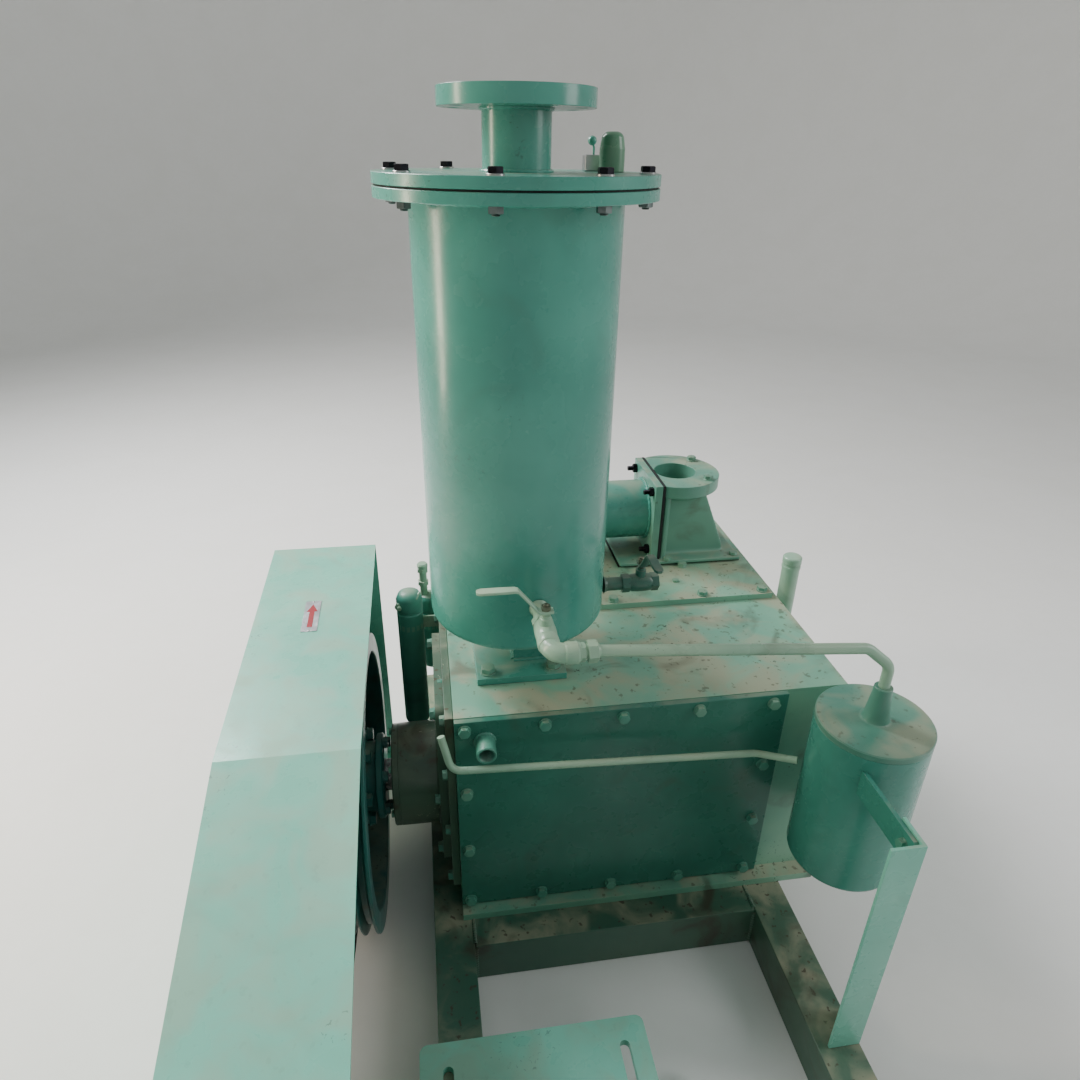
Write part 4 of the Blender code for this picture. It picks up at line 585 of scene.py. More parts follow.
def settle(piece: bpy.types.Object) -> None:
    """Applies a piece's modifiers to its mesh."""
    graph = bpy.context.evaluated_depsgraph_get()
    graph.update()
    data = bpy.data.meshes.new_from_object(piece.evaluated_get(graph))
    piece.modifiers.clear()
    old = piece.data
    piece.data = data
    bpy.data.meshes.remove(old)


@dataclass(frozen=True)
class Fastener:
    """A hexagon bolt or stud of one size, with its washer and nut."""

    flats: float
    head: float
    thread: float
    washer: float
    washer_height: float = 2.5 * MM

    def bolt(self, form: Form, place: Matrix, washers: Form | None = None) -> None:
        """Sets a bolt head with its Z out of the surface, on a washer where a form for washers is given.

        Args:
            form: the form for the heads.
            place: the frame on the surface.
            washers: the form for the washers.
        """
        seat = 0.0
        if washers is not None:
            seat = self.washer_height
            washers.turn([(0, 0), (self.washer, 0), (self.washer, seat - 0.4 * MM),
                          (self.washer - 0.4 * MM, seat), (0, seat)], place, 32)
        form.hexagon(self.flats, seat + 0.1 * MM, seat + self.head, place)

    def stud(self, form: Form, place: Matrix, reach: float) -> None:
        """Sets a nut with the threaded end of its stud standing proud.

        Args:
            form: the form for both.
            place: the frame on the surface.
            reach: how far the thread stands out of the surface.
        """
        form.hexagon(self.flats, 0.1 * MM, self.head * 1.25, place)
        pitch = 1.75 * MM
        ridges = int(reach / pitch)
        radius = self.thread / 2
        profile = [(0, self.head * 0.6)]
        for i in range(int(self.head * 0.6 / pitch) + 1, ridges):
            profile += [(radius * 0.86, i * pitch), (radius, (i + 0.5) * pitch)]
        profile += [(radius * 0.80, ridges * pitch + 0.4 * MM), (0, ridges * pitch + 0.4 * MM)]
        form.turn(profile, place, 20)


M8 = Fastener(13 * MM, 5.5 * MM, 8 * MM, 8 * MM)
M10 = Fastener(17 * MM, 7 * MM, 10 * MM, 10 * MM)
M12 = Fastener(19 * MM, 8 * MM, 12 * MM, 12 * MM)
M16 = Fastener(24 * MM, 10 * MM, 16 * MM, 15 * MM, 3 * MM)


def show(form: Form | bpy.types.Object, name: str, finish: Finish, stands_for: Sequence[str] = (),
         body: str = PUMP_SET, edge: float = 0.0, rounds: int = 2) -> bpy.types.Object:
    """Finishes a piece: edges, material, body and the CAD nodes that it stands for.

    Args:
        form: the form or the object.
        name: the piece's name.
        finish: its finish.
        stands_for: CAD nodes that it replaces.
        body: the CAD body that it rides on.
        edge: how far its sharp edges are rounded.
        rounds: facets across a rounded edge.

    Returns:
        The piece.
    """
    piece = form.plain(name) if isinstance(form, Form) else form
    piece.data.set_sharp_from_angle(angle=SHARP_ANGLE)
    if edge:
        bevel = piece.modifiers.new("edges", "BEVEL")
        bevel.width = edge
        bevel.segments = rounds
        bevel.limit_method = "ANGLE"
        bevel.angle_limit = SHARP_ANGLE
        bevel.harden_normals = True
    else:
        piece.modifiers.new("normals", "WEIGHTED_NORMAL").keep_sharp = True
    piece.data.materials.clear()
    piece.data.materials.append(finish.material())
    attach(piece, body)
    if stands_for:
        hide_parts(*stands_for)
    LOG.info("made %s", name)
    return piece


def softened(node: str, finish: Finish, edge: float, body: str = PUMP_SET,
             rounds: int = 2) -> bpy.types.Object:
    """Stands for a flat-sided CAD node with the same shape whose edges are rounded."""
    return show(Form().node(node), node + "_shape", finish, (node,), body, edge, rounds)


def span(node: str) -> tuple[Vector, Vector, Vector]:
    """A CAD node's lowest corner, highest corner and middle."""
    low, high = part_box(node)
    return low, high, (low + high) / 2


# ---- Sub-assemblies ---------------------------------------------------------------------
@dataclass
class Skid:
    """The welded base: two channel rails and three cross members."""

    edge: float = 2.5 * MM
    weld: float = 4.5 * MM

    def build(self) -> None:
        """Makes the rails, the cross members and the welds where they meet."""
        for side in ("left", "right"):
            softened("skid_rail_" + side, SKID_PAINT, self.edge, rounds=3)
        welds = Form()
        for member in ("middle", "rear", "motor"):
            name = "skid_cross_" + member
            softened(name, SKID_PAINT, self.edge, rounds=3)
            low, high, _ = span(name)
            for x, way in ((low.x, 1), (high.x, -1)):
                self.weld_web(welds, x + way * 1.0 * MM, low, high)
        show(welds, "skid_welds", SKID_PAINT)

    def weld_web(self, form: Form, x: float, low: Vector, high: Vector) -> None:
        """Runs a bead down the web and along the top flange of a cross member's end."""
        web = low.y - 0.5 * MM
        count = 40
        form.sweep([(x, web, low.z + 8 * MM + (high.z - low.z - 14 * MM) * i / count) for i in range(count)],
                   self.weld, 10, 0.12)
        top = high.z - 1.5 * MM
        form.sweep([(x, low.y + 6 * MM + (high.y - low.y - 12 * MM) * i / count, top) for i in range(count)],
                   self.weld, 10, 0.12)


@dataclass
class Casing:
    """The pump's box casing with its bolted front cover, end cover and top plate."""

    edge: float = 2.0 * MM
    socket_reach: float = 40 * MM
    socket_radius: float = 18 * MM
    socket_bore: float = 14 * MM
    column_inset: float = 17.9 * MM
    column_pitch: float = 145 * MM
    columns: int = 5
    top_row: float = 17.6 * MM
    bottom_row: float = 459.3 * MM
    side_rows: tuple[float, float] = (167.8 * MM, 316.4 * MM)

    def build(self) -> None:
        """Makes the covers and sets their bolts."""
        softened("pump_casing", CASING_PAINT, self.edge, rounds=3)
        low, high, _ = span("front_cover")
        face = low.y + self.socket_reach
        cover = Form().block((low.x, face, low.z), (high.x, high.y, high.z))
        # The cover plate wears the darkened enamel: painted shade on the casing's front face.
        show(cover, "front_cover_plate", SHADED_DARKENED_ENAMEL, ("front_cover",), edge=1.6 * MM)
        self.socket(low, high, face)
        bolts = Form()
        rows = (high.z - self.top_row, high.z - self.bottom_row)
        spots = [(low.x + self.column_inset + i * self.column_pitch,
                  z) for i in range(self.columns) for z in rows]
        last = low.x + self.column_inset + (self.columns - 1) * self.column_pitch
        spots += [(x, high.z - drop) for x in (low.x + self.column_inset, last) for drop in self.side_rows]
        for x, z in spots:
            M12.bolt(bolts, facing((x, face, z), Way.FRONT), bolts)
        show(bolts, "front_cover_bolts", BOLT_PAINT)
        self.end_cover()
        self.top_plate()

    def socket(self, low: Vector, high: Vector, face: float) -> None:
        """Makes the open threaded socket at the cover's top left corner."""
        centre = (low.x + 54 * MM, face, high.z - 45 * MM)
        outer, bore = self.socket_radius, self.socket_bore
        profile = [(outer, 0.2 * MM), (outer, self.socket_reach - 1.5 * MM),
                   (outer - 1.5 * MM, self.socket_reach)]
        pitch = 2.3 * MM
        profile += [(bore + (0.9 * MM if i % 2 else 0.0), self.socket_reach - 0.6 * MM - i * pitch / 2)
                    for i in range(24)]
        profile += [(bore, 0.2 * MM)]
        show(Form().turn(profile, facing(centre, Way.FRONT), 48), "gauge_socket", BOLT_PAINT)
        bead = [(*around((0, 0), outer + 0.5 * MM, 360 * i / 60), 1 * MM) for i in range(61)]
        place = facing(centre, Way.FRONT)
        show(Form().sweep([place @ Vector(p) for p in bead], 2.2 * MM, 8, 0.15), "gauge_socket_weld",
             BOLT_PAINT)

    def end_cover(self) -> None:
        """Makes the left end cover and its row of bolts."""
        softened("left_end_cover", HOUSING_PAINT, 1.5 * MM)
        low, high, _ = span("left_end_cover")
        bolts = Form()
        spots = [(y, z) for z in (high.z - 14 * MM, low.z + 16 * MM)
                 for y in (low.y + 14 * MM, low.y + 120 * MM, high.y - 95 * MM, high.y - 14 * MM)]
        spots += [(y, low.z + (high.z - low.z) * k / 3) for y in (low.y + 14 * MM,
                                                                  high.y - 14 * MM) for k in (1, 2)]
        for y, z in spots:
            M10.bolt(bolts, facing((low.x, y, z), Way.LEFT), bolts)
        show(bolts, "left_end_cover_bolts", BOLT_PAINT)

    def top_plate(self) -> None:
        """Makes the plate under the port casting, its six bolts and its one small screw."""
        softened("top_plate", CASING_PAINT, 1.2 * MM)
        low, high, _ = span("top_plate")
        inset = 20 * MM
        front, back = low.y + 15 * MM, high.y - inset
        spots = [(low.x + 40 * MM, front), (low.x + 246 * MM, front), (high.x - inset, front),
                 (low.x + inset, low.y + 190 * MM), (low.x + 241 * MM, low.y + 148 * MM),
                 (low.x + inset, back)]
        bolts = Form()
        for x, y in spots:
            M12.bolt(bolts, facing((x, y, high.z), Way.UP), bolts)
        M8.bolt(bolts, facing((low.x + 203 * MM, low.y + 79 * MM, high.z), Way.UP))
        show(bolts, "top_plate_bolts", BOLT_PAINT)


@dataclass
class DriveEnd:
    """The shaft's bearing housing, its caps and the far bearing cap."""

    bolt_circle: float = 93.5 * MM

    def build(self) -> None:
        """Makes the housing, both caps and their bolts."""
        low, high, middle = span("bearing_housing")
        cap_low, cap_high, axis = span("bearing_cap")
        radius = (cap_high.z - cap_low.z) / 2
        plate_left = high.x - 15.7 * MM
        show(Form().node("bearing_housing"), "bearing_housing_plate", HOUSING_PAINT, ("bearing_housing",),
             edge=1.5 * MM)
        barrel = [(63 * MM, 0.5 * MM), (radius, 0.5 * MM), (radius + 0.4 * MM, 6 * MM),
                  *arc((radius - 3 * MM, plate_left - low.x - 3 * MM), 3 * MM, 0, 90, 5),
                  (63 * MM, plate_left - low.x)]
        place = facing((plate_left + 0.5 * MM, axis.y, axis.z), Way.LEFT)
        show(Form().turn(barrel, place), "bearing_housing_barrel", HOUSING_PAINT)
        bead = [place @ Vector((*around((0, 0), radius + 1 * MM, 360 * i / 120),
                                1.5 * MM)) for i in range(121)]
        show(Form().sweep(bead, 3.5 * MM, 10, 0.1), "bearing_housing_weld", HOUSING_PAINT)
        depth = cap_high.x - cap_low.x
        ring = [(34 * MM, 0), (radius - 0.5 * MM, 0), (radius - 0.5 * MM, depth - 2 * MM),
                (radius - 2.5 * MM, depth), (48 * MM, depth), (46 * MM, depth - 2 * MM),
                (34 * MM, depth - 2 * MM)]
        place = facing((cap_high.x, axis.y, axis.z), Way.LEFT)
        show(Form().turn(ring, place), "bearing_cap_ring", HOUSING_PAINT, ("bearing_cap",), edge=0.6 * MM)
        bolts = Form()
        for i in range(6):
            y, z = around((axis.y, axis.z), self.bolt_circle, 60 * i + 12)
            M8.bolt(bolts, facing((cap_low.x, y, z), Way.LEFT))
        for y, z in ((low.y + 22 * MM, high.z - 22 * MM), (high.y - 22 * MM, high.z - 22 * MM),
                     (low.y + 22 * MM, low.z + 22 * MM), (high.y - 22 * MM, low.z + 22 * MM),
                     (low.y + 22 * MM, middle.z - 40 * MM), (high.y - 22 * MM, middle.z - 40 * MM)):
            M12.bolt(bolts, facing((plate_left, y, z), Way.LEFT), bolts)
        show(bolts, "drive_end_bolts", BOLT_PAINT)
        self.rear_cap()

    def rear_cap(self) -> None:
        """Makes the domed cap over the far bearing, with its bolts."""
        low, high, axis = span("rear_bearing_cap")
        radius = (high.z - low.z) / 2
        depth = high.x - low.x
        place = facing((low.x, axis.y, axis.z), Way.RIGHT)
        shell = [(0, 2 * MM), (62 * MM, 2 * MM), (62.3 * MM, 0), (radius, 0), (radius, 15 * MM),
                 (radius - 2 * MM, 17.5 * MM),
                 (radius - 20 * MM, 17.5 * MM), (radius - 24 * MM, 22 * MM),
                 *arc((radius - 33 * MM, depth - 8 * MM), 8 * MM, 0, 90, 6), (0, depth)]
        cap = Form().turn(shell, place)
        show(cap, "rear_bearing_cap_dome", CASING_PAINT, ("rear_bearing_cap",))
        bolts = Form()
        for i in range(6):
            y, z = around((axis.y, axis.z), radius - 9 * MM, 60 * i + 30)
            M10.bolt(bolts, facing((low.x + 17.5 * MM, y, z), Way.RIGHT))
        show(bolts, "rear_bearing_cap_bolts", BOLT_PAINT)


@dataclass
class BeltDrive:
    """Both grooved pulleys, the taper hub and its bolts, and three wedge belts."""

    grooves: int = 5
    belts: int = 3
    pitch: float = 25.5 * MM
    edge_inset: float = 17 * MM
    groove_top: float = 22 * MM
    groove_floor: float = 10 * MM
    groove_depth: float = 19 * MM
    rim: float = 20 * MM
    web: float = 18 * MM
    boss_inset: float = 20 * MM
    hub_bolts: int = 6
    hub_seat: float = 72.3 * MM
    seat_circle: float = 84 * MM

    def rim_profile(self, radius: float, width: float) -> list[tuple[float, float]]:
        """Points down the outside of a grooved rim, from height 0 to its width."""
        points = [(radius - 1 * MM, 0.0), (radius, 1 * MM)]
        for i in range(self.grooves):
            middle = self.edge_inset + i * self.pitch
            top, floor, bed = self.groove_top / 2, self.groove_floor / 2, radius - self.groove_depth
            points += [(radius, middle - top - 0.6 * MM), (radius - 0.8 * MM, middle - top),
                       (bed, middle - floor),
                       (bed, middle + floor), (radius - 0.8 * MM, middle + top),
                       (radius, middle + top + 0.6 * MM)]
        return points + [(radius, width - 1 * MM), (radius - 1 * MM, width)]

    def build(self) -> None:
        """Makes the pulleys, the hub and the belts."""
        low, high, axis = span("pump_pulley")
        width = high.x - low.x
        radius = (high.z - low.z) / 2
        inside = radius - self.groove_depth - self.rim
        _, _, hub_axis = span("pulley_hub")
        bore = self.hub_seat
        near, far = (width - self.web) / 2, (width + self.web) / 2
        boss = self.boss_inset
        fillet = 12 * MM
        profile = [
            *self.rim_profile(radius, width),
            (inside + 2 * MM, width), (inside, width - 2 * MM),
            *arc((inside - fillet, far + fillet), fillet, 0, -90, 6),
            *arc((bore + 22 * MM + fillet, far + fillet), fillet, 270, 180, 6),
            (bore + 20 * MM, far + 15 * MM), (bore, far + 15 * MM), (bore, boss),
            (bore + 20 * MM, boss), (bore + 22 * MM, boss + 2 * MM),
            *arc((bore + 22 * MM + fillet, near - fillet), fillet, 180, 90, 6),
            *arc((inside - fillet, near - fillet), fillet, 90, 0, 6),
            (inside, 2 * MM), (inside + 2 * MM, 0),
        ]
        place = facing((high.x, axis.y, axis.z), Way.LEFT)
        show(Form().turn(profile, place, 160), "pump_pulley_casting", PULLEY_PAINT, ("pump_pulley",),
             "pump_rotor")
        self.hub(high.x, hub_axis)
        low, high, axis = span("motor_pulley")
        radius = (high.z - low.z) / 2
        profile = [*self.rim_profile(radius, width), (60 * MM, width), (56 * MM, width - 8 * MM),
                   (44 * MM, width - 8 * MM),
                   (42 * MM, width), (28 * MM, width), (28 * MM, 0), (42 * MM, 0), (44 * MM, 8 * MM),
                   (56 * MM, 8 * MM), (60 * MM, 0)]
        place = facing((high.x, axis.y, axis.z), Way.LEFT)
        show(Form().turn(profile, place), "motor_pulley_casting", PULLEY_PAINT, ("motor_pulley",),
             "motor_rotor")
        for i in range(self.belts):
            softened(f"drive_belt_{i + 1}", RUBBER, 0.8 * MM)

    def hub(self, pulley_right: float, axis: Vector) -> None:
        """Makes the split hub that clamps the pulley to the shaft, with its keyway and bolts."""
        low, high, _ = span("pulley_hub")
        length = high.x - low.x
        flange, barrel, bore = (high.z - low.z) / 2, 72 * MM, 32.3 * MM
        place = facing((high.x, axis.y, axis.z), Way.LEFT)
        profile = [(bore, 2 * MM), (bore + 2 * MM, 0), (flange - 22 * MM, 0), (flange - 20 * MM, 2 * MM),
                   (flange - 3 * MM, 2 * MM),
                   (flange, 5 * MM), (flange, 14 * MM), (flange - 2 * MM, 16 * MM), (barrel, 16 * MM),
                   (barrel, length - 2 * MM), (barrel - 2 * MM, length), (bore + 2 * MM, length),
                   (bore, length - 2 * MM)]
        show(Form().turn(profile, place), "pulley_hub_body", PULLEY_PAINT, ("pulley_hub",), "pump_rotor")
        bolts = Form()
        for i in range(self.hub_bolts):
            angle = 360 / self.hub_bolts * i + 20
            y, z = around((axis.y, axis.z), flange - 11 * MM, angle)
            M12.bolt(bolts, facing((high.x - 2 * MM, y, z), Way.RIGHT), bolts)
            y, z = around((axis.y, axis.z), self.seat_circle, angle + 30)
            M16.bolt(bolts, facing((pulley_right - self.boss_inset, y, z), Way.RIGHT), bolts)
        show(bolts, "pulley_hub_bolts", PULLEY_PAINT, body="pump_rotor")


@dataclass
class Guard:
    """The folded sheet guard over both pulleys, with its turning-arrow label."""

    label_width: float = 104 * MM
    label_height: float = 31 * MM
    label_distance: float = 376 * MM
    label_inset: float = 109.6 * MM

    def build(self) -> None:
        """Makes the guard, the label with its arrow, and the rivets and welds."""
        # The guard wears the lightened enamel: a painted highlight on its lit sheet.
        softened("belt_guard", LIT_LIGHTENED_ENAMEL, 0.9 * MM)
        low, high, _ = span("belt_guard")
        fold_y, fold_z = self.fold()
        welds = Form()
        steps = 60
        slope = [(low.x + 1 * MM, fold_y + (high.y - fold_y) * i / steps,
                  fold_z - 1.5 * MM + (high.z - fold_z) * i / steps) for i in range(steps + 1)]
        welds.sweep([Vector(p) + Vector((3 * MM, 0, -2 * MM)) for p in slope], 2.2 * MM, 8, 0.2)
        show(welds, "guard_seam_weld", LIT_LIGHTENED_ENAMEL)
        self.label(Vector((low.x + self.label_inset, fold_y, fold_z)), high, fold_y, fold_z)

    def fold(self) -> tuple[float, float]:
        """Where the top sheet folds, read from the guard's own corners."""
        points = [v.co for v in frame["nodes"]["belt_guard"].data.vertices]
        low, high, _ = span("belt_guard")
        inner = [p for p in points if low.y + 0.1 < p.y < high.y - 0.1 and p.z > 0.5]
        top = max(inner, key=lambda p: p.z)
        return top.y, top.z

    def label(self, fold: Vector, high: Vector, fold_y: float, fold_z: float) -> None:
        """Rivets the label to the sheet behind the fold, with an arrow for the sense of turning."""
        along = Vector((0, high.y - fold_y, high.z - fold_z)).normalized()
        across = Vector((1, 0, 0))
        out = across.cross(along)
        origin = fold + along * self.label_distance + out * 0.25 * MM
        turn = Matrix((along, -across, out)).transposed().to_4x4()
        place = Matrix.Translation(origin) @ turn
        half_w, half_h = self.label_width / 2, self.label_height / 2
        plate = [(-half_w, -half_h), (half_w, -half_h), (half_w, half_h), (-half_w, half_h)]
        show(Form().slab(plate, 0, 0.7 * MM, place), "guard_label", PLATE_FOIL, edge=0.2 * MM)
        tail, neck, tip, shaft, barb = -38 * MM, 14 * MM, 40 * MM, 5 * MM, 11 * MM
        arrow = [(tail, -shaft), (neck, -shaft), (neck, -barb), (tip, 0), (neck, barb), (neck, shaft),
                 (tail, shaft)]
        show(Form().slab(arrow, 0.75 * MM, 1.0 * MM, place), "guard_label_arrow", RED_INK)
        rivets = Form()
        for x in (-half_w + 3 * MM, half_w - 3 * MM):
            spot = place @ Matrix.Translation((x, 0, 0.7 * MM))
            rivets.turn([(0, 0), (2 * MM, 0), (1.7 * MM, 0.7 * MM), (0.9 * MM, 1.1 * MM), (0, 1.2 * MM)],
                        spot, 16)
        show(rivets, "guard_label_rivets", ZINC)


@dataclass
class Motor:
    """The finned motor on its slotted slide plate."""

    frame_radius: float = 172 * MM
    fin_height: float = 20 * MM
    fins: int = 40
    nose: float = 50 * MM
    foot_height: float = 22 * MM
    foot_pitch: float = 305 * MM
    foot_spread: float = 318 * MM

    def build(self) -> None:
        """Makes the plate, the frame, the shields, the cowl, the terminal box and the foot bolts."""
        # The motor plate wears the lightened enamel: a painted highlight on its lit top.
        softened("motor_plate", LIT_LIGHTENED_ENAMEL, 1.5 * MM)
        low, high, _ = span("motor_frame")
        _, _, axis = span("motor_pulley")
        left = low.x + self.nose
        right = high.x
        place = facing((left, axis.y, axis.z), Way.RIGHT)
        length = right - left
        core = self.frame_radius - 1 * MM
        barrel = Form().turn([(0, 0), (core, 0), (core, length), (0, length)], place, 120)
        for i in range(self.fins):
            angle = 360 / self.fins * (i + 0.5)
            reach = self.frame_radius + self.fin_height - 0.6 * MM
            fin = [(core - 6 * MM, -3 * MM), (reach, -1.6 * MM), (reach, 1.6 * MM), (core - 6 * MM, 3 * MM)]
            turn = place @ Matrix.Rotation(math.radians(angle), 4, "Z")
            barrel.slab(fin, 6 * MM, length - 6 * MM, turn)
        show(barrel, "motor_frame_fins", MOTOR_PAINT, ("motor_frame",), edge=0.5 * MM)
        rim = self.frame_radius + 11.5 * MM
        left_place = facing((left, axis.y, axis.z), Way.LEFT)
        shield = [(0, -2 * MM), (rim, -2 * MM), (rim, 18 * MM), (rim - 4 * MM, 22 * MM),
                  (0.62 * rim, 24 * MM),
                  (0.58 * rim, 30 * MM), (76 * MM, 33 * MM), (71 * MM, 46 * MM),
                  (68 * MM, self.nose - 0.5 * MM),
                  (31 * MM, self.nose - 0.5 * MM), (29 * MM, self.nose - 4 * MM), (0, self.nose - 4 * MM)]
        show(Form().turn(shield, left_place, 120), "motor_end_shield", MOTOR_PAINT)
        self.feet(left, right, axis)
        self.cowl(axis)
        self.terminal_box()

    def feet(self, left: float, right: float, axis: Vector) -> None:
        """Makes both foot castings and their four bolts."""
        _, plate_high, _ = span("motor_plate")
        middle = (left + right) / 2
        base = plate_high.z + 0.4 * MM
        reach = self.foot_spread / 2 + 29 * MM
        feet, bolts = Form(), Form()
        for side in (-1, 1):
            x = middle + side * self.foot_pitch / 2
            rise = axis.z - self.frame_radius * 0.82
            outline = [(axis.y - reach, base), (axis.y + reach, base),
                       (axis.y + reach, base + self.foot_height),
                       (axis.y + 0.115, base + self.foot_height + 10 * MM), (axis.y + 0.098, rise),
                       (axis.y - 0.098, rise), (axis.y - 0.115, base + self.foot_height + 10 * MM),
                       (axis.y - reach, base + self.foot_height)]
            feet.slab(outline, x - 29 * MM, x + 29 * MM, SECTION_ALONG_X)
            for way in (-1, 1):
                M16.bolt(bolts,
                         facing((x, axis.y + way * self.foot_spread / 2, base + self.foot_height), Way.UP),
                         bolts)
        show(feet, "motor_feet", MOTOR_PAINT, edge=3 * MM)
        show(bolts, "motor_foot_bolts", ZINC)

    def cowl(self, axis: Vector) -> None:
        """Makes the fan cowl with its ring of air holes."""
        low, high, _ = span("motor_fan_cowl")
        radius, depth = (high.z - low.z) / 2 - 0.3 * MM, high.x - low.x
        place = facing((low.x, axis.y, axis.z), Way.RIGHT)
        wall = 2 * MM
        outside = [(radius, 0), (radius, depth - 21 * MM),
                   *arc((radius - 20 * MM, depth - 21 * MM), 20 * MM, 0, 90, 8)]
        inside = [(r - wall * math.copysign(1, r) if r > 0 else 0, h - (wall if h > depth - 22 * MM else 0))
                  for r, h in reversed(outside)]
        shell = Form().turn([*outside, (0.40 * radius, depth - 1 * MM),
                             (0.40 * radius, depth - 1 * MM - wall), *inside], place, 96)
        show(shell, "motor_fan_cowl_shell", MOTOR_PAINT, ("motor_fan_cowl",))
        grille = Form()
        for r in (0.14, 0.21, 0.28, 0.35, 0.41):
            ring = [place @ Vector((*around((0, 0), r * radius, 360 * i / 60),
                                    depth - 3.5 * MM)) for i in range(61)]
            grille.sweep(ring, 1.6 * MM, 8)
        for i in range(4):
            y, z = around((0, 0), 0.42 * radius, 90 * i + 45)
            grille.sweep([place @ Vector((0, 0, depth - 5 * MM)), place @ Vector((y, z, depth - 5 * MM))],
                         1.8 * MM, 8)
        show(grille, "motor_fan_grille", BLACK_BOLT)
        backing = Form().turn([(0, 0.5 * MM), (radius - 6 * MM, 0.5 * MM), (radius - 6 * MM, 3 * MM),
                               (0, 3 * MM)], place, 64)
        blades = Form()
        for i in range(9):
            turn = place @ Matrix.Rotation(math.radians(40 * i), 4, "Z")
            blades.slab([(26 * MM, -1.5 * MM), (0.75 * radius, -1.5 * MM), (0.75 * radius, 1.5 * MM),
                         (26 * MM, 1.5 * MM)],
                        20 * MM, depth - 34 * MM, turn)
        blades.turn([(0, 6 * MM), (30 * MM, 6 * MM), (30 * MM, depth - 30 * MM), (0, depth - 30 * MM)],
                    place, 32)
        show(backing, "motor_rear_shield", MOTOR_PAINT, edge=1 * MM)
        show(blades, "motor_cooling_fan", RUBBER)

    def terminal_box(self) -> None:
        """Makes the terminal box with its lid, screws and cable gland."""
        low, high, middle = span("motor_terminal_box")
        lid = high.z - 14 * MM
        box = Form().block((low.x + 3 * MM, low.y + 3 * MM, low.z),
                           (high.x - 3 * MM, high.y - 3 * MM, lid - 0.3 * MM))
        show(box, "motor_terminal_box_base", MOTOR_PAINT, ("motor_terminal_box",), edge=5 * MM, rounds=4)
        show(Form().block((low.x, low.y, lid), high), "motor_terminal_box_lid", MOTOR_PAINT, edge=4 * MM,
             rounds=4)
        screws = Form()
        for x in (low.x + 12 * MM, high.x - 12 * MM):
            for y in (low.y + 12 * MM, high.y - 12 * MM):
                place = facing((x, y, high.z), Way.UP)
                screws.turn([(0, 0), (5 * MM, 0), (5 * MM, 1.6 * MM), (3.4 * MM, 3 * MM), (0, 3.2 * MM)],
                            place, 24)
        show(screws, "motor_terminal_box_screws", ZINC)
        gland = Form()
        place = facing((middle.x, low.y + 3 * MM, (low.z + lid) / 2), Way.FRONT)
        gland.hexagon(30 * MM, 0, 8 * MM, place)
        gland.turn([(0, 8.1 * MM), (13 * MM, 8.1 * MM), (13 * MM, 20 * MM), (10 * MM, 24 * MM),
                    (6 * MM, 24 * MM),
                    (5.5 * MM, 18 * MM), (0, 18 * MM)], place, 32)
        show(gland, "motor_cable_gland", BLACK_BOLT)


